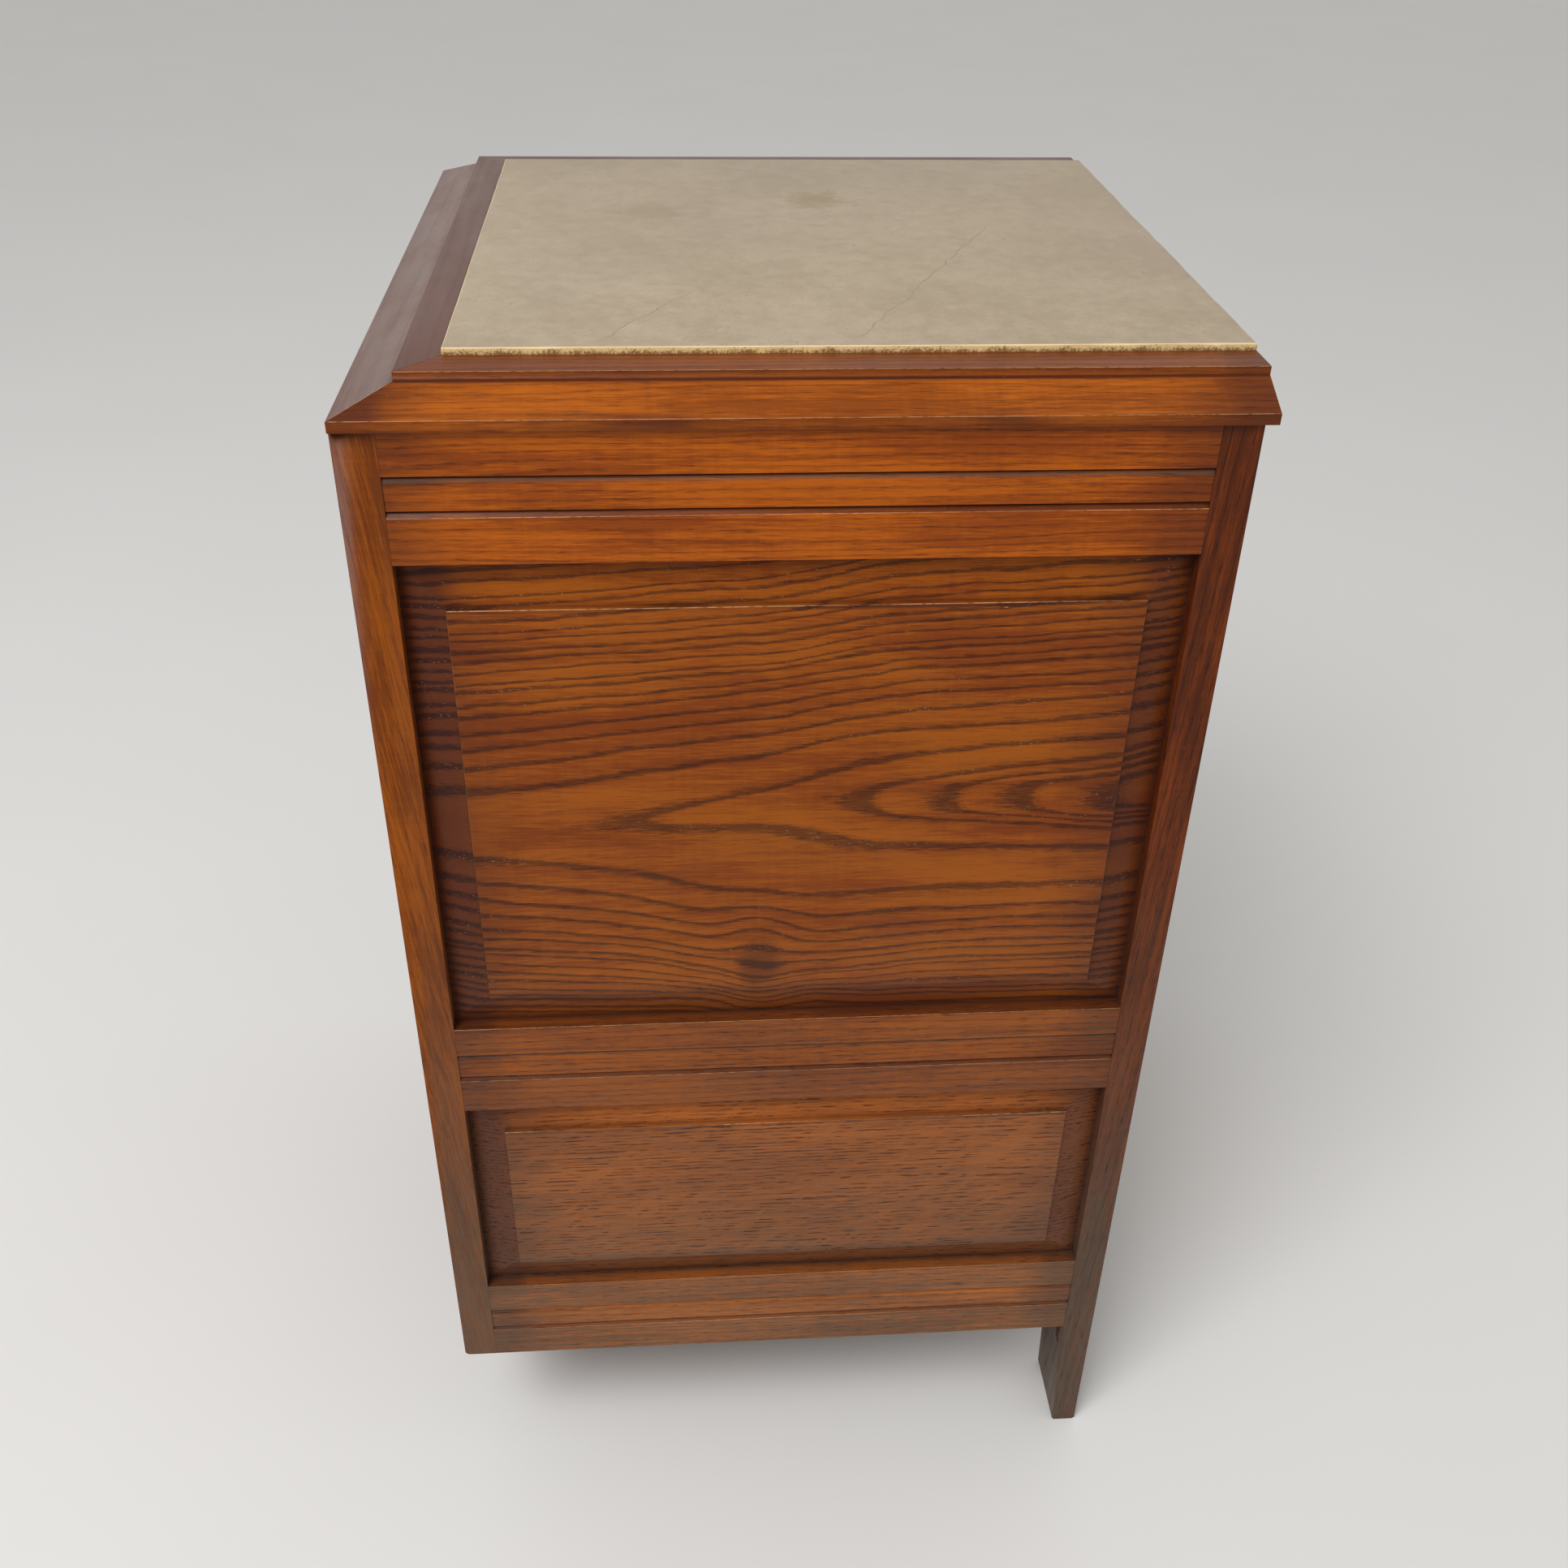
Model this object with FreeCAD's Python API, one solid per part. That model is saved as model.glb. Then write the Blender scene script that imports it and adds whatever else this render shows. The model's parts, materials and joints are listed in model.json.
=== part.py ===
"""A framed and panelled oak nightstand with a drawer, a door and a stone top.

Millimetres, +Z up, the front faces -Y. The origin is on the floor, in the middle of the
part's box. Frames are drawn flat first, with u along the frame, depth d inwards from its
outer face and z up, and are then set on the front, the back or a side.
"""
import FreeCAD
import Part
import math
import os

Vector = FreeCAD.Vector

# Overall sizes
top_width = 430.0
carcass_depth = 386.0
side_overhang = 3.0
back_overhang = 5.0
foot_height = 95.0

# Heights of the side frames, from the floor gap upwards
bottom_rail_height = 61.0
lower_opening_height = 144.0
middle_rail_height = 58.0
upper_opening_height = 264.0
top_rail_height = 60.0

# Frame stock
front_stile_thickness = 18.5
back_stile_thickness = 17.7
stile_width = 45.0
rail_thickness = 20.0
stile_corner_radius = 3.0

# Grooves that hold the panels and the rails' tenons
groove_setback = 8.0
groove_width = 6.0
groove_depth = 8.0
joint_play = 0.1
groove_runout = 28.0

# Raised and fielded panels
tongue_room = 1.0
field_setback = 1.0
field_step = 3.0
field_side_margin = 20.0
upper_field_top_margin = 22.5
upper_field_bottom_margin = 20.0
lower_field_margin = 18.5

# Bead worked along each rail, between two quirks
band_lower_flat = 21.5
band_quirk_height = 3.0
band_bead_height = 15.5
band_quirk_depth = 2.5
band_bead_setback = 0.5
band_round_height = 6.0

# Foot of each back stile
foot_taper = 3.0
foot_chamfer = 1.5

# Top frame and stone
fillet_height = 5.0
bevel_height = 9.3
step_height = 3.7
side_bevel_width = 21.0
side_flat_width = 20.5
front_bevel_width = 25.0
front_flat_width = 17.5
stone_ledge_width = 10.0
stone_thickness = 12.0
stone_proud = 3.0
stone_play = 0.3

# Front frame
front_top_rail_height = 14.0
front_top_rail_depth = 45.0
drawer_opening_height = 96.0
drawer_rail_height = 20.0
drawer_rail_depth = 60.0
front_gap = 1.5

# Back, boards and cleats
bottom_board_thickness = 15.0
shelf_thickness = 15.0
shelf_front_setback = 12.0
cleat_size = 15.0
shelf_cleat_rise = 2.0

# Recessed plinth under the front
plinth_inset = 80.0
plinth_board_thickness = 20.0
plinth_depth = 170.0

# Drawer
drawer_back_gap = 28.0
drawer_board_thickness = 10.0
drawer_bottom_thickness = 5.0
drawer_bottom_rise = 8.0
drawer_groove_depth = 5.0
drawer_back_housing = 4.0
drawer_head_room = 6.0
drawer_running_gap = 0.3
drawer_side_play = 0.5
drawer_border_setback = 5.0
drawer_field_margin = 18.0
tail_count = 3
tail_length = 12.0
tail_root_share = 0.55
tail_tip_share = 0.72
runner_width = 40.0
guide_width = 12.0
guide_height = 15.0
stop_length = 40.0
stop_depth = 12.0
stop_height = 6.0
stop_gap = 0.3

# Door
door_stile_width = 48.0
door_end_rail_height = 48.0
door_stop_height = 8.0
door_stop_depth = 10.0
door_stop_length = 200.0

# Turned knobs
knob_radius = 14.0
knob_neck_radius = 6.5
knob_base_radius = 9.0
knob_base_height = 3.0
knob_neck_length = 8.7
knob_swell_length = 6.0
knob_swell = 1.0
knob_cap_height = 8.3
knob_screw_radius = 2.0
knob_screw_head_radius = 4.5
knob_screw_head_height = 2.5
knob_screw_reach = 12.0

# Butt hinges
hinge_length = 50.0
hinge_end_distance = 55.0
hinge_axis_proud = 2.0
hinge_barrel_radius = 3.0
hinge_pin_radius = 1.5
hinge_pin_play = 0.05
hinge_knuckles = 5
hinge_knuckle_gap = 0.3
hinge_barrel_clearance = 0.4
hinge_leaf_thickness = 1.4
hinge_leaf_gap = 0.4
hinge_leaf_width = 16.0
hinge_screw_count = 3
hinge_screw_radius = 1.5
hinge_screw_head_radius = 2.8
hinge_screw_length = 12.0
hinge_screw_stagger = 2.5

# Spring clip that holds the door shut
clip_width = 12.0
clip_metal = 1.0
clip_arm_length = 16.0
clip_lead = 5.0
clip_flange_length = 18.0
clip_drop = 9.0
stud_ball_radius = 3.0
stud_neck_radius = 1.8
stud_reach = 11.0
stud_play = 0.3
stud_edge_distance = 30.0

# Places worked out from the sizes above
carcass_width = top_width - 2 * side_overhang
half_width = carcass_width / 2
opening_half = half_width - stile_width
knob_projection = knob_base_height + knob_neck_length + knob_swell_length + knob_cap_height
total_depth = knob_projection + carcass_depth + back_overhang
front_y = knob_projection - total_depth / 2
back_y = front_y + carcass_depth
bottom_rail_top = foot_height + bottom_rail_height
middle_rail_bottom = bottom_rail_top + lower_opening_height
middle_rail_top = middle_rail_bottom + middle_rail_height
top_rail_bottom = middle_rail_top + upper_opening_height
carcass_top = top_rail_bottom + top_rail_height
drawer_opening_top = carcass_top - front_top_rail_height
drawer_opening_bottom = drawer_opening_top - drawer_opening_height
door_opening_top = drawer_opening_bottom - drawer_rail_height
bevel_bottom = carcass_top + fillet_height
bevel_top = bevel_bottom + bevel_height
frame_top = bevel_top + step_height
stone_top = frame_top + stone_proud
stone_bed = stone_top - stone_thickness
inner_back = carcass_depth - back_stile_thickness
rail_inner_x = half_width - rail_thickness
tongue_length = groove_depth - tongue_room
drawer_length = inner_back - drawer_back_gap
front_groove_setback = (front_stile_thickness - groove_width) / 2
back_groove_setback = (back_stile_thickness - groove_width) / 2


def box(x0, x1, y0, y1, z0, z1):
    """A block between two corners."""
    return Part.makeBox(x1 - x0, y1 - y0, z1 - z0, Vector(x0, y0, z0))


def outline(points):
    """A closed face through points; a point given as (via, end) is reached by an arc."""
    edges = []
    here = points[0]
    for point in points[1:]:
        if isinstance(point, tuple):
            edges.append(Part.Arc(here, point[0], point[1]).toShape())
            here = point[1]
        else:
            edges.append(Part.LineSegment(here, point).toShape())
            here = point
    if here != points[0]:
        edges.append(Part.LineSegment(here, points[0]).toShape())
    return Part.Face(Part.Wire(edges))


def join(shapes):
    """One clean solid from overlapping or touching shapes."""
    return shapes[0].multiFuse(shapes[1:]).removeSplitter()


def on_front(shape):
    """Set a flat-drawn shape on the front of the carcass."""
    placed = shape.copy()
    placed.translate(Vector(0, front_y, 0))
    return placed


def on_back(shape):
    """Set a flat-drawn shape on the back of the carcass."""
    placed = shape.copy()
    placed.rotate(Vector(0, 0, 0), Vector(0, 0, 1), 180)
    placed.translate(Vector(0, back_y, 0))
    return placed


def on_right(shape):
    """Set a flat-drawn shape, with u from the front edge, on the right side."""
    placed = shape.copy()
    placed.rotate(Vector(0, 0, 0), Vector(0, 0, 1), 90)
    placed.translate(Vector(half_width, front_y, 0))
    return placed


def mirrored(shape):
    """The left-hand twin of a right-hand shape."""
    return shape.mirror(Vector(0, 0, 0), Vector(1, 0, 0))


def tongue(u0, u1, z0, z1, setback):
    """A block as thick as the grooves: a rail's tenon, or what a groove or mortise takes out."""
    return box(u0, u1, setback, setback + groove_width, z0, z1)


def rail(u0, u1, z0, height, thickness, setback, banded=True, groove_above=False, groove_below=False):
    """A rail with its tenons, its bead and the grooves for the panels it meets."""
    top = z0 + height
    tenon_start = u0 - groove_depth
    tenon_end = u1 + groove_depth
    face = [Vector(u0, thickness, z0), Vector(u0, thickness, top), Vector(u0, 0, top)]
    if banded:
        quirk_bottom = z0 + band_lower_flat
        bead_bottom = quirk_bottom + band_quirk_height
        bead_top = bead_bottom + band_bead_height
        round_start = bead_top - band_round_height
        round_side = (band_quirk_depth - band_bead_setback) * (1 - math.sqrt(0.5))
        round_rise = band_round_height * math.sqrt(0.5)
        face += [
            Vector(u0, 0, bead_top),
            Vector(u0, band_quirk_depth, bead_top),
            (Vector(u0, band_bead_setback + round_side, round_start + round_rise),
             Vector(u0, band_bead_setback, round_start)),
            Vector(u0, band_bead_setback, bead_bottom),
            Vector(u0, band_quirk_depth, bead_bottom),
            Vector(u0, 0, quirk_bottom),
        ]
    face.append(Vector(u0, 0, z0))
    body = outline(face).extrude(Vector(u1 - u0, 0, 0))
    shape = join([body, tongue(tenon_start, tenon_end, z0, top, setback)])
    if groove_above:
        shape = shape.cut(tongue(tenon_start, tenon_end, top - groove_depth, top, setback))
    if groove_below:
        shape = shape.cut(tongue(tenon_start, tenon_end, z0, z0 + groove_depth, setback))
    return shape


def rectangle(u0, u1, z0, z1, depth):
    """A closed rectangular wire facing the front, at one depth."""
    corners = [Vector(u0, depth, z0), Vector(u1, depth, z0), Vector(u1, depth, z1), Vector(u0, depth, z1)]
    return Part.makePolygon(corners + corners[:1])


def raised_field(u0, u1, z0, z1, side, below, above, edge_depth, face_depth, back_depth):
    """A board whose border slopes up to a small step round a flat field."""
    step_depth = face_depth + field_step
    slope = Part.makeLoft([rectangle(u0, u1, z0, z1, edge_depth),
                           rectangle(u0 + side, u1 - side, z0 + below, z1 - above, step_depth)], True, True)
    field = box(u0 + side, u1 - side, face_depth, edge_depth, z0 + below, z1 - above)
    slab = box(u0, u1, edge_depth, back_depth, z0, z1)
    return join([slab, slope, field])


def panel_board(u0, u1, z0, z1, setback):
    """A thin board that fills an opening and reaches into the grooves all round it."""
    return box(u0 - tongue_length, u1 + tongue_length, setback + joint_play,
               setback + groove_width - joint_play, z0 - tongue_length, z1 + tongue_length)


def fielded_panel(u0, u1, z0, z1, below, above, setback):
    """A raised panel for an opening, with a tongue all round for the grooves."""
    board = panel_board(u0, u1, z0, z1, setback)
    raised = raised_field(u0, u1, z0, z1, field_side_margin, below, above, setback + joint_play,
                          field_setback, setback + groove_width - joint_play)
    return join([board, raised])


def side_pieces():
    """The stiles, rails and panels of the right side, by name."""
    first = front_stile_thickness
    last = inner_back
    pieces = {}
    pieces["side_bottom_rail"] = rail(first, last, foot_height, bottom_rail_height, rail_thickness,
                                      groove_setback, groove_above=True)
    pieces["side_middle_rail"] = rail(first, last, middle_rail_bottom, middle_rail_height, rail_thickness,
                                      groove_setback, groove_above=True, groove_below=True)
    pieces["side_top_rail"] = rail(first, last, top_rail_bottom, top_rail_height, rail_thickness,
                                   groove_setback, groove_below=True)
    pieces["side_lower_panel"] = fielded_panel(first, last, bottom_rail_top, middle_rail_bottom,
                                               lower_field_margin, lower_field_margin, groove_setback)
    pieces["side_upper_panel"] = fielded_panel(first, last, middle_rail_top, top_rail_bottom,
                                               upper_field_bottom_margin, upper_field_top_margin,
                                               groove_setback)
    pieces["front_stile"] = front_stile()
    pieces["back_stile"] = back_stile()
    return {name: on_right(shape) for name, shape in pieces.items()}


def front_stile():
    """The front upright, drawn flat on the side, with its lower front corner rounded."""
    radius = stile_corner_radius
    bend = radius * (1 - math.sqrt(0.5))
    thickness = front_stile_thickness
    face = outline([
        Vector(radius, 0, foot_height),
        Vector(thickness, 0, foot_height),
        Vector(thickness, 0, carcass_top),
        Vector(0, 0, carcass_top),
        Vector(0, 0, foot_height + radius),
        (Vector(bend, 0, foot_height + bend), Vector(radius, 0, foot_height)),
    ])
    stile = face.extrude(Vector(0, stile_width, 0))
    return stile.cut(tongue(thickness - groove_depth, thickness, foot_height, carcass_top, groove_setback))


def back_stile():
    """The back upright, which runs to the floor as a tapered foot."""
    front = inner_back
    back = carcass_depth
    foot_front = front + foot_taper
    face = outline([
        Vector(foot_front + foot_chamfer, 0, 0),
        Vector(back - foot_chamfer, 0, 0),
        Vector(back, 0, foot_chamfer),
        Vector(back, 0, carcass_top),
        Vector(front, 0, carcass_top),
        Vector(front, 0, foot_height),
        Vector(foot_front, 0, foot_chamfer),
    ])
    stile = face.extrude(Vector(0, stile_width, 0))
    cutter_radius = (groove_runout ** 2 + groove_depth ** 2) / (2 * groove_depth)
    cutter_centre = Vector(front + groove_depth - cutter_radius, groove_setback, foot_height)
    runout = Part.makeCylinder(cutter_radius, groove_width, cutter_centre, Vector(0, 1, 0))
    side_groove = tongue(front, front + groove_depth, foot_height, carcass_top, groove_setback)
    back_groove = box(back - back_groove_setback - groove_width, back - back_groove_setback,
                      stile_width - groove_depth, stile_width, foot_height, carcass_top)
    return stile.cut(side_groove).cut(runout).cut(back_groove)


def front_mortises():
    """The mortises that the front rails' tenons need in the right front stile."""
    inner = opening_half
    spans = [(foot_height, bottom_rail_top), (door_opening_top, drawer_opening_bottom),
             (drawer_opening_top, carcass_top)]
    reach = inner + groove_depth
    return [on_front(tongue(inner, reach, low, high, front_groove_setback)) for low, high in spans]


def front_rails():
    """The three rails between the front stiles."""
    inner = opening_half
    setback = front_groove_setback
    top_rail = rail(-inner, inner, drawer_opening_top, front_top_rail_height, front_top_rail_depth,
                    setback, banded=False)
    drawer_rail = rail(-inner, inner, door_opening_top, drawer_rail_height, drawer_rail_depth,
                       setback, banded=False)
    bottom_rail = rail(-inner, inner, foot_height, bottom_rail_height, front_stile_thickness, setback)
    return {
        "front_top_rail": on_front(top_rail),
        "drawer_rail": on_front(drawer_rail),
        "front_bottom_rail": on_front(bottom_rail),
    }


def back_pieces():
    """The two back rails and the thin panel between them."""
    inner = opening_half
    setback = back_groove_setback
    top_rail = rail(-inner, inner, top_rail_bottom, top_rail_height, back_stile_thickness, setback,
                    banded=False, groove_below=True)
    bottom_rail = rail(-inner, inner, foot_height, bottom_rail_height, back_stile_thickness, setback,
                       banded=False, groove_above=True)
    panel = panel_board(-inner, inner, bottom_rail_top, top_rail_bottom, setback)
    return {
        "back_top_rail": on_back(top_rail),
        "back_bottom_rail": on_back(bottom_rail),
        "back_panel": on_back(panel),
    }


def boards():
    """The bottom board and the shelf, each with the cleats that carry it."""
    front = front_stile_thickness
    back = inner_back
    side = rail_inner_x
    board_bottom = bottom_rail_top - bottom_board_thickness
    cleat_bottom = middle_rail_bottom + shelf_cleat_rise
    shelf_bottom = cleat_bottom + cleat_size
    bottom_cleat = box(side - cleat_size, side, front, back, board_bottom - cleat_size, board_bottom)
    shelf_cleat = box(side - cleat_size, side, front, back, cleat_bottom, shelf_bottom)
    pieces = {
        "bottom_board": box(-side, side, front, back, board_bottom, bottom_rail_top),
        "bottom_cleats": Part.makeCompound([bottom_cleat, mirrored(bottom_cleat)]),
        "shelf": box(-side, side, front + shelf_front_setback, back, shelf_bottom,
                     shelf_bottom + shelf_thickness),
        "shelf_cleats": Part.makeCompound([shelf_cleat, mirrored(shelf_cleat)]),
        "door_stop": box(-door_stop_length / 2, door_stop_length / 2, front + stop_gap,
                         front + stop_gap + door_stop_depth, bottom_rail_top,
                         bottom_rail_top + door_stop_height),
    }
    return {name: on_front(shape) for name, shape in pieces.items()}


def plinth():
    """The recessed base under the front: a front board and two boards behind it."""
    half = half_width - plinth_inset
    top = bottom_rail_top - bottom_board_thickness
    front = front_stile_thickness
    behind = front + plinth_board_thickness
    side = box(half - plinth_board_thickness, half, behind, front + plinth_depth, 0, top)
    return {
        "plinth_front": on_front(box(-half, half, front, behind, 0, top)),
        "plinth_sides": on_front(Part.makeCompound([side, mirrored(side)])),
    }


def top_moulding(bevel_width, flat_width):
    """A bar of the top frame along X, its outer face at y = 0: fillet, bevel, step, flat, ledge."""
    stone_edge = bevel_width + flat_width
    frame_width = stone_edge + stone_ledge_width
    section = outline([
        Vector(0, 0, carcass_top),
        Vector(0, 0, bevel_bottom),
        Vector(0, bevel_width, bevel_top),
        Vector(0, bevel_width, frame_top),
        Vector(0, stone_edge, frame_top),
        Vector(0, stone_edge, stone_bed),
        Vector(0, frame_width, stone_bed),
        Vector(0, frame_width, carcass_top),
    ])
    return section.extrude(Vector(top_width + carcass_depth + back_overhang, 0, 0))


def top_plan(corners):
    """A block as high as the top frame over an outline seen from above."""
    face = outline([Vector(x, y, carcass_top) for x, y in corners])
    return face.extrude(Vector(0, 0, frame_top - carcass_top))


def top_pieces():
    """The moulded top frame, mitred at the front corners, the board under the stone and the stone."""
    half = top_width / 2
    depth = carcass_depth + back_overhang
    stone_half = half - side_bevel_width - side_flat_width
    stone_front = front_bevel_width + front_flat_width
    board_half = stone_half - stone_ledge_width
    board_front = stone_front + stone_ledge_width
    front_bar = top_moulding(front_bevel_width, front_flat_width)
    front_bar.translate(Vector(-half, 0, 0))
    right_bar = top_moulding(side_bevel_width, side_flat_width)
    right_bar.rotate(Vector(0, 0, 0), Vector(0, 0, 1), 90)
    right_bar.translate(Vector(half, 0, 0))
    mitre = [(half, 0), (half - side_bevel_width, front_bevel_width), (stone_half, stone_front),
             (board_half, board_front)]
    left_mitre = [(-x, y) for x, y in reversed(mitre)]
    right_piece = right_bar.common(top_plan(mitre + [(board_half, depth), (half, depth)]))
    pieces = {
        "top_frame_front": front_bar.common(top_plan(mitre + left_mitre)),
        "top_frame_right": right_piece,
        "top_frame_left": mirrored(right_piece),
        "top_board": box(-board_half, board_half, board_front, depth, carcass_top, stone_bed),
        "stone_top": box(stone_play - stone_half, stone_half - stone_play, stone_front + stone_play, depth,
                         stone_bed, stone_top),
    }
    return {name: on_front(shape) for name, shape in pieces.items()}


def runner_tenons():
    """The stub tenons at the ends of the right drawer runner: front, then back."""
    low = door_opening_top + drawer_rail_height / 2 - groove_width / 2
    high = low + groove_width
    front_tenon = box(rail_inner_x - runner_width, opening_half,
                      drawer_rail_depth - groove_depth, drawer_rail_depth, low, high)
    back_tenon = box(opening_half + groove_depth, rail_inner_x,
                     inner_back, inner_back + groove_depth, low, high)
    return on_front(front_tenon), on_front(back_tenon)


def drawer_supports():
    """The runners that carry the drawer, the guides beside it and the stops behind its front."""
    inner = opening_half
    drawer_half = inner - front_gap
    runner = on_front(box(rail_inner_x - runner_width, rail_inner_x, drawer_rail_depth, inner_back,
                          door_opening_top, drawer_opening_bottom))
    runner = join([runner, *runner_tenons()])
    guide_inner = drawer_half + drawer_side_play
    guide = on_front(box(guide_inner, guide_inner + guide_width, drawer_rail_depth, inner_back,
                         drawer_opening_bottom, drawer_opening_bottom + guide_height))
    stop_y = front_stile_thickness + stop_gap
    stop = on_front(box(inner / 2, inner / 2 + stop_length, stop_y, stop_y + stop_depth,
                        drawer_opening_bottom, drawer_opening_bottom + stop_height))
    return {
        "drawer_runners": Part.makeCompound([runner, mirrored(runner)]),
        "drawer_guides": Part.makeCompound([guide, mirrored(guide)]),
        "drawer_stops": Part.makeCompound([stop, mirrored(stop)]),
    }


def knob(x, z):
    """A turned knob on the front face, bored for its screw."""
    neck_end = knob_base_height + knob_neck_length
    widest = neck_end + knob_swell_length
    neck_middle = Vector(knob_neck_radius, -(knob_base_height + neck_end) / 2, 0)
    swell_middle = Vector((knob_base_radius + knob_radius) / 2 + knob_swell, -(neck_end + widest) / 2, 0)
    cap_radius = (knob_radius ** 2 + knob_cap_height ** 2) / (2 * knob_cap_height)
    cap_angle = math.asin(knob_radius / cap_radius) / 2
    cap_middle = Vector(cap_radius * math.sin(cap_angle),
                        cap_radius * (1 - math.cos(cap_angle)) - knob_projection, 0)
    profile = outline([
        Vector(0, 0, 0),
        Vector(knob_base_radius, 0, 0),
        Vector(knob_base_radius, -knob_base_height, 0),
        (neck_middle, Vector(knob_base_radius, -neck_end, 0)),
        (swell_middle, Vector(knob_radius, -widest, 0)),
        (cap_middle, Vector(0, -knob_projection, 0)),
    ])
    turned = profile.revolve(Vector(0, 0, 0), Vector(0, 1, 0), 360)
    bore = Part.makeCylinder(knob_screw_radius + joint_play, knob_screw_reach + joint_play,
                             Vector(0, 0, 0), Vector(0, -1, 0))
    shape = turned.cut(bore)
    shape.translate(Vector(x, 0, z))
    return on_front(shape)


def knob_screw(x, z, wood, play=0.0):
    """The screw that holds a knob from behind; with play, the hole through the wood."""
    radius = knob_screw_radius + play
    shank = Part.makeCylinder(radius, wood + knob_screw_reach, Vector(x, wood, z), Vector(0, -1, 0))
    head = Part.makeCylinder(knob_screw_head_radius, knob_screw_head_height, Vector(x, wood, z),
                             Vector(0, 1, 0))
    return on_front(shank if play else join([shank, head]))


def drawer_pieces():
    """The drawer box with lapped dovetails at the front, its bottom and its knob."""
    half = opening_half - front_gap
    low = drawer_opening_bottom + front_gap
    high = drawer_opening_top - front_gap
    thickness = front_stile_thickness
    inside = half - drawer_board_thickness
    side_low = drawer_opening_bottom + drawer_running_gap
    side_high = drawer_opening_top - drawer_head_room
    bottom_low = side_low + drawer_bottom_rise
    bottom_high = bottom_low + drawer_bottom_thickness

    front = raised_field(-half, half, low, high, drawer_field_margin, drawer_field_margin,
                         drawer_field_margin, drawer_border_setback, 0, thickness)
    side = box(inside, half, thickness, drawer_length, side_low, side_high)
    bottom = box(-inside - drawer_groove_depth, inside + drawer_groove_depth,
                 thickness - drawer_groove_depth, drawer_length, bottom_low, bottom_high)
    back = box(-inside - drawer_back_housing, inside + drawer_back_housing,
               drawer_length - 2 * drawer_board_thickness, drawer_length - drawer_board_thickness,
               bottom_high, side_high)

    pitch = (side_high - bottom_high) / tail_count
    root = pitch * tail_root_share / 2
    tip = pitch * tail_tip_share / 2
    tails = []
    for index in range(tail_count):
        middle = bottom_high + pitch * (index + 0.5)
        tails.append(outline([
            Vector(inside, thickness, middle - root),
            Vector(inside, thickness - tail_length, middle - tip),
            Vector(inside, thickness - tail_length, middle + tip),
            Vector(inside, thickness, middle + root),
        ]).extrude(Vector(drawer_board_thickness, 0, 0)))
    side = join([side.cut(bottom).cut(back), *tails])
    for tail in tails:
        front = front.cut(tail).cut(mirrored(tail))
    front = front.cut(bottom)

    knob_z = (low + high) / 2
    pieces = {
        "drawer_front": on_front(front).cut(knob_screw(0, knob_z, thickness, joint_play)),
        "drawer_side_right": on_front(side),
        "drawer_side_left": on_front(mirrored(side)),
        "drawer_back": on_front(back),
        "drawer_bottom": on_front(bottom),
        "drawer_knob": knob(0, knob_z),
        "drawer_knob_screw": knob_screw(0, knob_z, thickness),
    }
    return pieces


def door_pieces():
    """The framed door with two fielded panels, aligned with the side's middle rail, and its knob."""
    half = opening_half - front_gap
    low = bottom_rail_top + front_gap
    high = door_opening_top - front_gap
    inner = half - door_stile_width
    thickness = front_stile_thickness
    bottom_top = low + door_end_rail_height
    top_bottom = high - door_end_rail_height
    stile = box(inner, half, 0, thickness, low, high)
    setback = front_groove_setback
    stile = stile.cut(tongue(inner, inner + groove_depth, low, high, setback))
    knob_x = -(inner + half) / 2
    knob_z = (middle_rail_top + high) / 2
    stud_x = stud_edge_distance - half
    stud_z = stud_height()
    stud_hole = Part.makeCylinder(stud_neck_radius + joint_play, thickness / 2,
                                  Vector(stud_x, thickness, stud_z), Vector(0, -1, 0))
    stud = join([
        Part.makeCylinder(stud_neck_radius, thickness / 2 + stud_reach,
                          Vector(stud_x, thickness / 2, stud_z), Vector(0, 1, 0)),
        Part.makeSphere(stud_ball_radius, Vector(stud_x, thickness + stud_reach, stud_z)),
    ])
    lock_stile = on_front(mirrored(stile).cut(stud_hole))
    lock_stile = lock_stile.cut(knob_screw(knob_x, knob_z, thickness, joint_play))
    pieces = {
        "door_top_rail": rail(-inner, inner, top_bottom, door_end_rail_height, thickness, setback,
                              banded=False, groove_below=True),
        "door_middle_rail": rail(-inner, inner, middle_rail_bottom, middle_rail_height, thickness,
                                 setback, groove_above=True, groove_below=True),
        "door_bottom_rail": rail(-inner, inner, low, door_end_rail_height, thickness, setback,
                                 banded=False, groove_above=True),
        "door_upper_panel": fielded_panel(-inner, inner, middle_rail_top, top_bottom,
                                          upper_field_bottom_margin, upper_field_top_margin, setback),
        "door_lower_panel": fielded_panel(-inner, inner, bottom_top, middle_rail_bottom,
                                          lower_field_margin, lower_field_margin, setback),
        "door_hinge_stile": stile,
        "catch_stud": stud,
    }
    pieces = {name: on_front(shape) for name, shape in pieces.items()}
    pieces["door_lock_stile"] = lock_stile
    pieces["door_knob"] = knob(knob_x, knob_z)
    pieces["door_knob_screw"] = knob_screw(knob_x, knob_z, thickness)
    return pieces


def stud_height():
    """Height of the catch: a little below the underside of the shelf."""
    return middle_rail_bottom + shelf_cleat_rise + cleat_size - clip_drop


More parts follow.
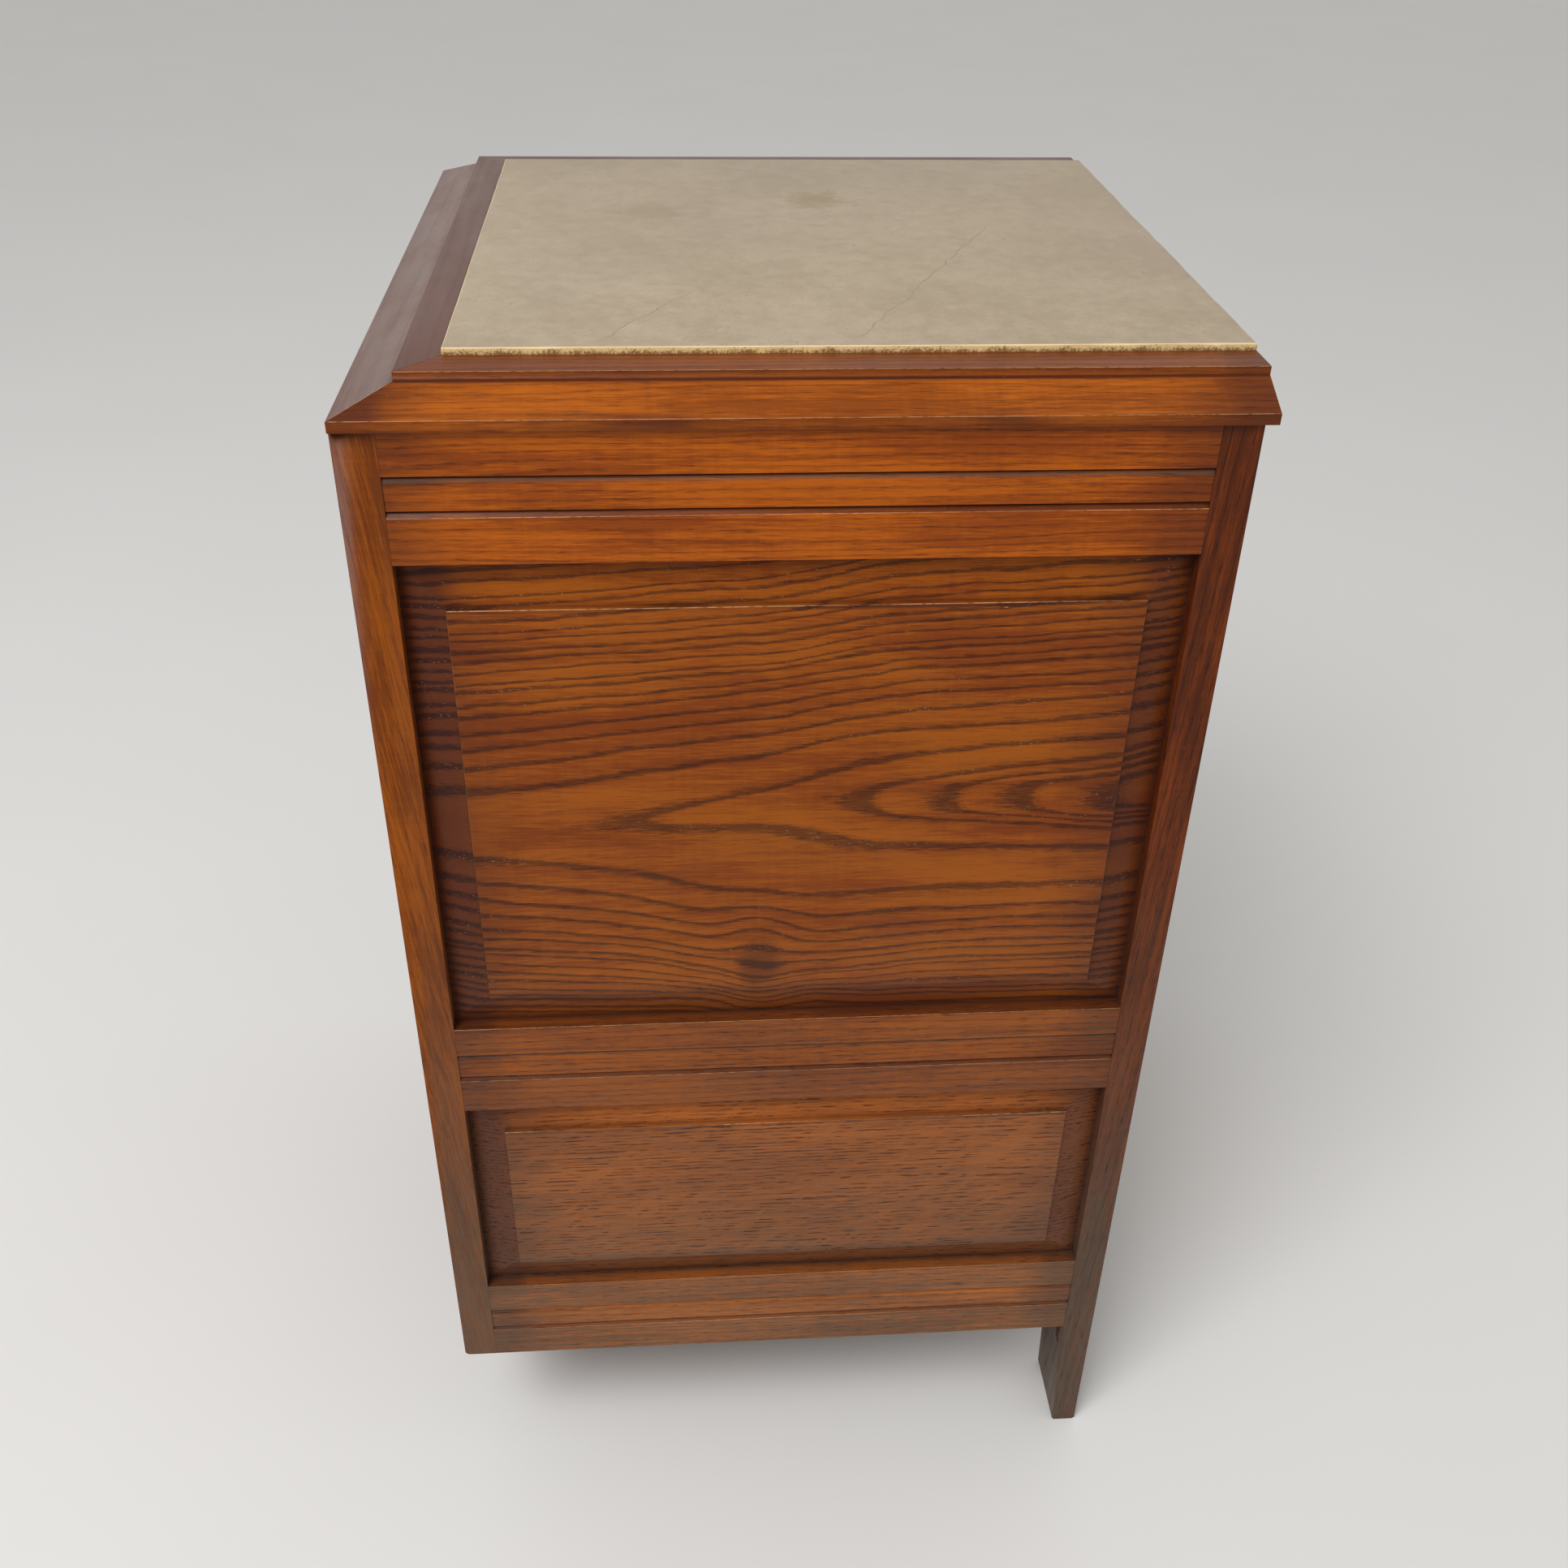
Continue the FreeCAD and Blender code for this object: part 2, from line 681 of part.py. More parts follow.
def catch_pieces():
    """The spring clip under the shelf that grips the stud on the door, and its screw."""
    x = stud_edge_distance + front_gap - opening_half
    z = stud_height()
    shelf_bottom = z + clip_drop
    grip = stud_ball_radius + stud_play
    arm_front = front_stile_thickness + stud_reach - clip_lead
    web = arm_front + clip_arm_length
    left = x - clip_width / 2
    right = x + clip_width / 2
    flange_back = web + clip_flange_length
    clip = join([
        box(left, right, arm_front, web, z + grip, z + grip + clip_metal),
        box(left, right, arm_front, web, z - grip - clip_metal, z - grip),
        box(left, right, web, web + clip_metal, z - grip - clip_metal, shelf_bottom),
        box(left, right, web, flange_back, shelf_bottom - clip_metal, shelf_bottom),
    ])
    screw_y = (web + clip_metal + flange_back) / 2
    head = Part.makeCone(hinge_screw_head_radius, hinge_screw_radius, clip_metal,
                         Vector(x, screw_y, shelf_bottom - clip_metal))
    shank = Part.makeCylinder(hinge_screw_radius, hinge_screw_length, Vector(x, screw_y, shelf_bottom))
    hole = Part.makeCylinder(hinge_screw_radius + joint_play, hinge_screw_length + joint_play,
                             Vector(x, screw_y, shelf_bottom))
    return {
        "catch_clip": on_front(clip.cut(head)),
        "catch_clip_screw": on_front(join([head, shank])),
    }, on_front(hole)


def hinge_screws(surface, sign, middle, play=0.0):
    """The countersunk screws of one leaf, driven along X from its face; with play, their holes."""
    screws = []
    leaf_middle = (hinge_leaf_width + hinge_barrel_clearance) / 2
    pitch = hinge_length / hinge_screw_count
    direction = Vector(sign, 0, 0)
    for index in range(hinge_screw_count):
        z = middle + pitch * (index - (hinge_screw_count - 1) / 2)
        y = leaf_middle + hinge_screw_stagger * (1 if index % 2 else -1)
        start = Vector(surface, y, z)
        head = Part.makeCone(hinge_screw_head_radius + play, hinge_screw_radius + play,
                             hinge_leaf_thickness, start, direction)
        shank = Part.makeCylinder(hinge_screw_radius + play, hinge_screw_length + play, start, direction)
        screws.append(join([head, shank]))
    return screws


def hinge_leaf(axis_x, sign, middle, first_knuckle):
    """One leaf of a butt hinge with every second knuckle, bored for the pin."""
    axis_y = -hinge_axis_proud
    near = axis_x + sign * hinge_leaf_gap / 2
    far = near + sign * hinge_leaf_thickness
    x0, x1 = min(near, far), max(near, far)
    low = middle - hinge_length / 2
    plate_front = axis_y + hinge_barrel_radius + hinge_barrel_clearance
    pieces = [box(x0, x1, plate_front, hinge_leaf_width, low, low + hinge_length)]
    knuckle = hinge_length / hinge_knuckles
    for index in range(first_knuckle, hinge_knuckles, 2):
        z0 = low + index * knuckle + hinge_knuckle_gap / 2
        height = knuckle - hinge_knuckle_gap
        pieces.append(Part.makeCylinder(hinge_barrel_radius, height, Vector(axis_x, axis_y, z0)))
        pieces.append(box(x0, x1, axis_y, plate_front, z0, z0 + height))
    bore = Part.makeCylinder(hinge_pin_radius + hinge_pin_play, hinge_length, Vector(axis_x, axis_y, low))
    leaf = join(pieces).cut(bore)
    for hole in hinge_screws(near, sign, middle, hinge_pin_play):
        leaf = leaf.cut(hole)
    return leaf


def hinge_recess(axis_x, sign, middle):
    """What a leaf takes out of the wood it is let into: its own block, the barrel's way and the holes."""
    near = axis_x + sign * hinge_leaf_gap / 2
    far = near + sign * hinge_leaf_thickness
    low = middle - hinge_length / 2
    plate = box(min(near, far), max(near, far), -hinge_axis_proud, hinge_leaf_width, low, low + hinge_length)
    barrel = Part.makeCylinder(hinge_barrel_radius + hinge_barrel_clearance, hinge_length,
                               Vector(axis_x, -hinge_axis_proud, low))
    return join([plate, barrel, *hinge_screws(near, sign, middle, joint_play)])


def hinges():
    """Both butt hinges on the right: leaves, pins, screws and the recesses for them."""
    axis_x = opening_half - front_gap / 2
    low = bottom_rail_top + front_gap + hinge_end_distance
    high = door_opening_top - front_gap - hinge_end_distance
    frame_leaves, door_leaves, pins, frame_screws, door_screws = [], [], [], [], []
    frame_recesses, door_recesses = [], []
    frame_surface = axis_x + hinge_leaf_gap / 2
    door_surface = axis_x - hinge_leaf_gap / 2
    for middle in (low, high):
        frame_leaves.append(hinge_leaf(axis_x, 1, middle, 0))
        door_leaves.append(hinge_leaf(axis_x, -1, middle, 1))
        pins.append(Part.makeCylinder(hinge_pin_radius, hinge_length,
                                      Vector(axis_x, -hinge_axis_proud, middle - hinge_length / 2)))
        frame_screws += hinge_screws(frame_surface, 1, middle)
        door_screws += hinge_screws(door_surface, -1, middle)
        frame_recesses.append(on_front(hinge_recess(axis_x, 1, middle)))
        door_recesses.append(on_front(hinge_recess(axis_x, -1, middle)))
    groups = {
        "hinge_frame_leaves": frame_leaves,
        "hinge_door_leaves": door_leaves,
        "hinge_pins": pins,
        "hinge_frame_screws": frame_screws,
        "hinge_door_screws": door_screws,
    }
    pieces = {name: on_front(Part.makeCompound(shapes)) for name, shapes in groups.items()}
    return pieces, frame_recesses, door_recesses


def build():
    """Every piece of the nightstand, by node name."""
    nodes = {}
    runner_front, runner_back = runner_tenons()
    for name, shape in side_pieces().items():
        if name == "front_stile":
            for mortise in front_mortises():
                shape = shape.cut(mortise)
        if name == "back_stile":
            shape = shape.cut(runner_back)
        nodes[name + "_right"] = shape
        nodes[name + "_left"] = mirrored(shape)
    nodes.update(front_rails())
    nodes["drawer_rail"] = nodes["drawer_rail"].cut(runner_front).cut(mirrored(runner_front))
    nodes.update(back_pieces())
    nodes.update(boards())
    nodes.update(plinth())
    nodes.update(top_pieces())
    nodes.update(drawer_supports())
    nodes.update(drawer_pieces())
    nodes.update(door_pieces())
    catch, screw_hole = catch_pieces()
    nodes.update(catch)
    nodes["shelf"] = nodes["shelf"].cut(screw_hole)
    hinge_nodes, frame_recesses, door_recesses = hinges()
    nodes.update(hinge_nodes)
    for recess in frame_recesses:
        nodes["front_stile_right"] = nodes["front_stile_right"].cut(recess)
    for recess in door_recesses:
        nodes["door_hinge_stile"] = nodes["door_hinge_stile"].cut(recess)
    return nodes


os.makedirs("parts", exist_ok=True)
for node, shape in build().items():
    shape.exportStep(os.path.join("parts", node + ".step"))
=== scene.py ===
import json
from math import cos, hypot, pi, radians, sin

import bmesh
import bpy
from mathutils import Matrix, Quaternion, Vector, noise
from mathutils.bvhtree import BVHTree

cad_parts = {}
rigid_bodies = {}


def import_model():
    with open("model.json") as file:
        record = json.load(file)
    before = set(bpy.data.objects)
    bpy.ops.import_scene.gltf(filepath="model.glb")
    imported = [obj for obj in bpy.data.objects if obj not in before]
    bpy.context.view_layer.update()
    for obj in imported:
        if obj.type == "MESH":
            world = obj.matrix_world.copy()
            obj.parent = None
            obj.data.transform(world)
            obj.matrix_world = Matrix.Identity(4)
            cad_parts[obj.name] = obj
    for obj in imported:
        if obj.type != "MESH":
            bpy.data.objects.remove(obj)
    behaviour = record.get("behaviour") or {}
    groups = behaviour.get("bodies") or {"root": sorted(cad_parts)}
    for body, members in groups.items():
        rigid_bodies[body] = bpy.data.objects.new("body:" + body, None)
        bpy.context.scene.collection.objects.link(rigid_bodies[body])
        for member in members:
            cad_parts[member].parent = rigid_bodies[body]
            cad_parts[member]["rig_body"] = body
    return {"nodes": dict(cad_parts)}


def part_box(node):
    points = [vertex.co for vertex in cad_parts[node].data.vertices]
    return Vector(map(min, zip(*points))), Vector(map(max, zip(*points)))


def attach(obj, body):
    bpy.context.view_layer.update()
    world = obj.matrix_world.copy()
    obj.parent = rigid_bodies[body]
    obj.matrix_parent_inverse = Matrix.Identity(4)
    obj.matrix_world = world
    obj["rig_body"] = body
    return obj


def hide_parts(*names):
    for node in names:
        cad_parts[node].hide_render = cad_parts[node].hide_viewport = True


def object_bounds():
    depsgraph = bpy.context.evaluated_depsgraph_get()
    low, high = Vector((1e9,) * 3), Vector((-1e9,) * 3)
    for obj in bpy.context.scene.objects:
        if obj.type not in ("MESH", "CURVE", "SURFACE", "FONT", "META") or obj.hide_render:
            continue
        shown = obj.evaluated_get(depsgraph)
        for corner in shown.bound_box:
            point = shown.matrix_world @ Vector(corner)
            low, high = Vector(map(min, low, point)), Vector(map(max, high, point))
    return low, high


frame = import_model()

# A framed and panelled oak nightstand with a stone slab let into its top.
# Metres; +Z is up and the front faces -Y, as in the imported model.
cad_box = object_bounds()

# Side frames
# Each side is two upright stiles and three rails of oak, tenoned together. A flat, a quirk and a bead
# are worked along each rail. Stained red-brown and varnished, with the arrises rubbed by handling. The
# arrises also carry a painted highlight, the quirks painted shade, and the beads a painted sheen.


def put(tree, kind, inputs=(), **options):
    """Add a node, set its options, then link or set its inputs."""
    made = tree.nodes.new(kind)
    for name, value in options.items():
        setattr(made, name, value)
    for key, value in dict(inputs).items():
        if isinstance(value, bpy.types.NodeSocket):
            tree.links.new(value, made.inputs[key])
        else:
            made.inputs[key].default_value = value
    return made


def calc(tree, operation, *values):
    """One step of arithmetic on sockets and numbers."""
    return put(tree, "ShaderNodeMath", enumerate(values), operation=operation).outputs[0]


def ramp(tree, value, low, high, start=0.0, end=1.0):
    """A smooth change from start to end while the value goes from low to high."""
    inputs = {"Value": value, "From Min": low, "From Max": high, "To Min": start, "To Max": end}
    return put(tree, "ShaderNodeMapRange", inputs, interpolation_type="SMOOTHSTEP").outputs[0]


def tint(tree, share, under, over, blend="MIX"):
    """One colour laid on another by a share from 0 to 1, mixed in or multiplied."""
    inputs = {0: share, 6: under, 7: over}
    return put(tree, "ShaderNodeMix", inputs, data_type="RGBA", blend_type=blend).outputs[2]


def vector_calc(tree, operation, *vectors, result="Vector"):
    """One step of arithmetic on vectors; it gives a vector or, for a measure of them, a value."""
    return put(tree, "ShaderNodeVectorMath", enumerate(vectors), operation=operation).outputs[result]


def split(tree, vector):
    """The three parts of a vector."""
    return put(tree, "ShaderNodeSeparateXYZ", {0: vector}).outputs


def point_on(tree):
    """The point being coloured, in metres, where its piece stands at rest."""
    return put(tree, "ShaderNodeTexCoord").outputs["Object"]


def facing(tree):
    """The way the surface faces at that point."""
    return put(tree, "ShaderNodeTexCoord").outputs["Normal"]


def even_noise(tree, vector, scale, detail, roughness=0.5, distortion=0.0):
    """Noise that is alike in all directions, with so many waves to the metre."""
    inputs = {"Vector": vector, "Scale": scale, "Detail": detail}
    inputs.update({"Roughness": roughness, "Distortion": distortion})
    return put(tree, "ShaderNodeTexNoise", inputs).outputs[0]


def drawn_noise(tree, vector, along, across, detail=2.0, roughness=0.5):
    """Noise drawn out along the grain, with so many waves to the metre along it and across it."""
    drawn = vector_calc(tree, "MULTIPLY", vector, (along, across, across))
    return even_noise(tree, drawn, 1.0, detail, roughness)


def open_group(name, inputs, outputs):
    """A new shader node group with named sockets: its tree, what it is given and what it gives."""
    tree = bpy.data.node_groups.new(name, "ShaderNodeTree")
    for label, kind, value in inputs:
        socket = tree.interface.new_socket(label, in_out="INPUT", socket_type="NodeSocket" + kind)
        socket.default_value = value
    for label, kind in outputs:
        tree.interface.new_socket(label, in_out="OUTPUT", socket_type="NodeSocket" + kind)
    return tree, tree.nodes.new("NodeGroupInput").outputs, tree.nodes.new("NodeGroupOutput").inputs


def open_material(name):
    """A new material: itself, its tree and its principled shader."""
    made = bpy.data.materials.new(name)
    made.use_nodes = True
    return made, made.node_tree, made.node_tree.nodes["Principled BSDF"]


def dress(tree, shader, base, roughness, height, strength, distance):
    """Give a shader its colour, its roughness and a relief of so many metres."""
    tree.links.new(base, shader.inputs["Base Color"])
    tree.links.new(roughness, shader.inputs["Roughness"])
    relief = put(tree, "ShaderNodeBump", {"Height": height, "Strength": strength, "Distance": distance})
    tree.links.new(relief.outputs["Normal"], shader.inputs["Normal"])


# Oak's open early wood: each year's ring starts with a dark band of pores that fades into dense late wood,
# and short dark pores are strewn over the rest.
def annual_rings_group():
    wanted = [("Board", "Vector", (0, 0, 0)), ("Ring", "Float", 0), ("Line Share", "Float", 0.2)]
    wanted += [("Pore Share", "Float", 0.5), ("Late Pores", "Float", 0.4)]
    tree, given, result = open_group("annual rings", wanted, [("Line", "Float"), ("Pores", "Float")])
    year = calc(tree, "FRACT", calc(tree, "MULTIPLY", given["Ring"], -1.0))
    peak = calc(tree, "MULTIPLY", given["Line Share"], 0.25)
    begun = ramp(tree, year, 0.0, peak)
    band = calc(tree, "MULTIPLY", begun, ramp(tree, year, peak, given["Line Share"], 1.0, 0.0))
    vessels = calc(tree, "SUBTRACT", drawn_noise(tree, given["Board"], 110, 1000), 0.5)
    ragged = calc(tree, "MULTIPLY_ADD", vessels, 1.9, band)
    rows = calc(tree, "MULTIPLY", ramp(tree, ragged, 0.05, 0.9), ramp(tree, band, 0.0, 0.2))
    tree.links.new(calc(tree, "MAXIMUM", rows, ramp(tree, year, 0.0, 0.9, 0.24, 0.0)), result["Line"])
    least = calc(tree, "MULTIPLY_ADD", given["Pore Share"], -0.14, 0.65)
    most = calc(tree, "ADD", least, 0.08)
    fine = ramp(tree, drawn_noise(tree, given["Board"], 100, 1500, 1.0), least, most)
    early = ramp(tree, year, 0.15, 0.6, 1.0, given["Late Pores"])
    tree.links.new(calc(tree, "MULTIPLY", fine, early), result["Pores"])
    return tree


# Handling rubs the stain off the arrises, which also carry a painted highlight; dark polish and painted
# shade gather in the quirks and corners.
def worn_lit_and_shaded_edges_group():
    wanted = [("Board", "Vector", (0, 0, 0)), ("Arris", "Float", 0), ("Handled", "Float", 0)]
    wanted += [("Rubbed", "Float", 0.2)]
    tree, given, result = open_group("worn, lit and shaded edges", wanted, [("Wear", "Float"), ("Grime", "Float")])
    open_air = put(tree, "ShaderNodeAmbientOcclusion", {"Distance": 0.0055}, samples=8).outputs["AO"]
    patches = ramp(tree, drawn_noise(tree, given["Board"], 14, 30, 3.0), 0.42, 0.66, given["Rubbed"], 0.8)
    patches = calc(tree, "MAXIMUM", patches, given["Handled"])
    nicks = ramp(tree, drawn_noise(tree, given["Board"], 300, 300), 0.32, 0.56, 0.25, 1.0)
    rubbed = calc(tree, "MULTIPLY", calc(tree, "MULTIPLY", patches, nicks), given["Arris"])
    bare_tip = calc(tree, "MULTIPLY", ramp(tree, given["Handled"], 0.955, 0.99, 0.0, 0.8), nicks)
    rubbed = calc(tree, "MAXIMUM", rubbed, bare_tip)
    # Rubbed arrises, whose mark also stands for a painted highlight where they face up.
    tree.links.new(calc(tree, "MULTIPLY", rubbed, ramp(tree, open_air, 0.36, 0.64)), result["Wear"])
    # Painted shade where the surface is hemmed in, as in quirks and corners.
    tree.links.new(ramp(tree, open_air, 0.92, 0.45), result["Grime"])
    return tree


# The stain lies in patches and streaks, darkest in the pores and on end grain, under an old varnish.
# Painted shade, a painted sheen and painted highlights on the arrises are laid over it.
def stained_oak_group():
    colours = ("Pale", "Deep", "Early Wood", "Dark", "Veil", "Polish And Shade", "Bare Wood And Glint")
    masks = ("Line", "Pores", "Dark", "Wear", "Grime", "Dull")
    wanted = [("Board", "Vector", (0, 0, 0))]
    wanted += [(name, "Color", (0.5, 0.5, 0.5, 1)) for name in colours]
    wanted += [(name + " Mask", "Float", 0) for name in masks]
    gives = [("Colour", "Color"), ("Roughness", "Float"), ("Height", "Float")]
    tree, given, result = open_group("stained oak", wanted, gives)
    patches = calc(tree, "MULTIPLY", drawn_noise(tree, given["Board"], 9, 30, 2.0), 0.38)
    streaks = calc(tree, "MULTIPLY", drawn_noise(tree, given["Board"], 7, 190, 2.0), 0.24)
    fibres = calc(tree, "MULTIPLY", drawn_noise(tree, given["Board"], 70, 1300, 2.0, 0.6), 0.33)
    chatter = calc(tree, "MULTIPLY", drawn_noise(tree, given["Board"], 380, 14, 1.0), 0.05)
    tone = calc(tree, "ADD", calc(tree, "ADD", patches, streaks), calc(tree, "ADD", fibres, chatter))
    wood = tint(tree, ramp(tree, tone, 0.41, 0.59), given["Deep"], given["Pale"])
    wood = tint(tree, given["Dark Mask"], wood, given["Dark"])
    wood = tint(tree, given["Line Mask"], wood, given["Early Wood"], "MULTIPLY")
    filled = ramp(tree, drawn_noise(tree, given["Board"], 600, 1500, 1.0), 0.66, 0.76, 0.0, 0.5)
    waxed = calc(tree, "MULTIPLY", filled, ramp(tree, drawn_noise(tree, given["Board"], 16, 60), 0.46, 0.62))
    wood = tint(tree, calc(tree, "MULTIPLY", waxed, given["Line Mask"]), wood, given["Bare Wood And Glint"])
    # Painted shade in the quirks and corners, with dark polish there too.
    wood = tint(tree, calc(tree, "MULTIPLY", given["Grime Mask"], 0.65), wood, given["Polish And Shade"])
    # Painted sheen: the floor's grey reflection low down and the room's on the beads' tops.
    wood = tint(tree, given["Dull Mask"], wood, given["Veil"])
    wood = tint(tree, given["Pores Mask"], wood, given["Early Wood"], "MULTIPLY")
    # Bare wood on rubbed arrises, with a painted highlight on those that face up.
    wood = tint(tree, given["Wear Mask"], wood, given["Bare Wood And Glint"])
    tree.links.new(wood, result["Colour"])
    open_pores = calc(tree, "MAXIMUM", given["Line Mask"], given["Pores Mask"])
    rubbing = ramp(tree, drawn_noise(tree, given["Board"], 14, 40, 3.0), 0.3, 0.7, 0.24, 0.36)
    gloss_lost = calc(tree, "MULTIPLY", calc(tree, "ADD", open_pores, given["Dull Mask"]), 0.15)
    tree.links.new(calc(tree, "ADD", rubbing, gloss_lost), result["Roughness"])
    ripple = calc(tree, "MULTIPLY", drawn_noise(tree, given["Board"], 20, 60, 1.0), 0.5)
    tree.links.new(calc(tree, "SUBTRACT", ripple, calc(tree, "MULTIPLY", open_pores, 0.9)), result["Height"])
    return tree


# A painted reflection: the pale floor's grey veil over the varnish, stronger towards the floor.
def floor_reflection_group():
    wanted = [("Board", "Vector", (0, 0, 0))]
    tree, given, result = open_group("floor reflection", wanted, [("Dull", "Float")])
    height = split(tree, point_on(tree))[2]
    uneven = calc(tree, "MULTIPLY", drawn_noise(tree, given["Board"], 12, 40, 3.0), 0.12)
    lower = ramp(tree, calc(tree, "ADD", height, uneven), 0.58, 0.10, 0.0, 0.84)
    streaks = ramp(tree, drawn_noise(tree, given["Board"], 50, 900, 3.0), 0.36, 0.62, 0.62, 1.0)
    tree.links.new(calc(tree, "MULTIPLY", lower, streaks), result["Dull"])
    return tree


annual_rings = annual_rings_group()
worn_lit_and_shaded_edges = worn_lit_and_shaded_edges_group()
stained_oak = stained_oak_group()
floor_reflection = floor_reflection_group()


def board_vector(tree, grain, lean=0.0):
    """The place in a board as (along, across, through); a lean slants the grain across the board."""
    order = {"X": (0, 2, 1), "Y": (1, 2, 0), "Z": (2, 1, 0)}[grain]
    x_y_z = split(tree, point_on(tree))
    along, across, through = (x_y_z[index] for index in order)
    slanted = calc(tree, "MULTIPLY_ADD", along, lean, across)
    return put(tree, "ShaderNodeCombineXYZ", {0: along, 1: slanted, 2: through}).outputs[0]


def straight_rings(tree, board, spacing=0.0042, tilt=0.4):
    """Ring count of a board cut near the radius, in straight, slightly wavy rows; nothing dark, no fleck."""
    place = split(tree, board)
    depth = calc(tree, "MULTIPLY_ADD", place[2], tilt, place[1])
    wave = calc(tree, "MULTIPLY", drawn_noise(tree, board, 3, 45, 2.0), 0.016)
    return calc(tree, "DIVIDE", calc(tree, "ADD", depth, wave), spacing), 0.0, 0.0


def colour(red, green, blue):
    return (red, green, blue, 1.0)


# One set of stain colours, with browner pores near the floor; boards differ in their pale and deep tones.
stain = {
    "Early Wood": colour(0.230, 0.250, 0.900),
    "Dark": colour(0.090, 0.020, 0.006),
    "Veil": colour(0.100, 0.078, 0.054),
    "Polish And Shade": colour(0.055, 0.016, 0.009),
    "Bare Wood And Glint": colour(0.600, 0.370, 0.190),
}
low_stain = {**stain, "Early Wood": colour(0.250, 0.250, 0.420)}


# The cosine of a face's lean from upright is above the first value on flat faces, and below the second
# on the panels' bevelled borders.
flat_lean = 0.997
bevel_lean = 0.984


def dark_ends(tree, board, ends, fade, border_share, normal, through):
    """Where a board is darkest: near its ends, most of all on a bevelled border, and on its lower bevel.

    The darkening on the lower bevel is painted shade.
    """
    border_fade = 0.036
    border_dark = 0.013
    end_dark = 0.025
    along = split(tree, board)[0]
    from_low = calc(tree, "SUBTRACT", along, ends[0])
    to_high = calc(tree, "SUBTRACT", ends[1], along)
    near = calc(tree, "MINIMUM", from_low, to_high)
    level = vector_calc(tree, "DOT_PRODUCT", normal, through, result="Value")
    border = ramp(tree, calc(tree, "ABSOLUTE", level), flat_lean, bevel_lean)
    upward = split(tree, normal)[2]
    # Painted shade on a bevel that faces down.
    shaded_lower_bevel = ramp(tree, upward, 0.0, -0.05, 0.0, border_share)
    low_end = ramp(tree, from_low, border_fade, border_dark, shaded_lower_bevel, 0.92)
    high_end = ramp(tree, to_high, border_fade, border_dark, shaded_lower_bevel, 0.75)
    border = calc(tree, "MULTIPLY", border, calc(tree, "MAXIMUM", low_end, high_end))
    uneven = calc(tree, "MULTIPLY_ADD", drawn_noise(tree, board, 20, 60, 3.0), 0.05, near)
    return calc(tree, "MAXIMUM", border, ramp(tree, uneven, end_dark + fade, end_dark, 0.0, 0.6))


rail_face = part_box("side_middle_rail_right")[1].x
bead_sunk = 0.0003
hand_reach = 0.11


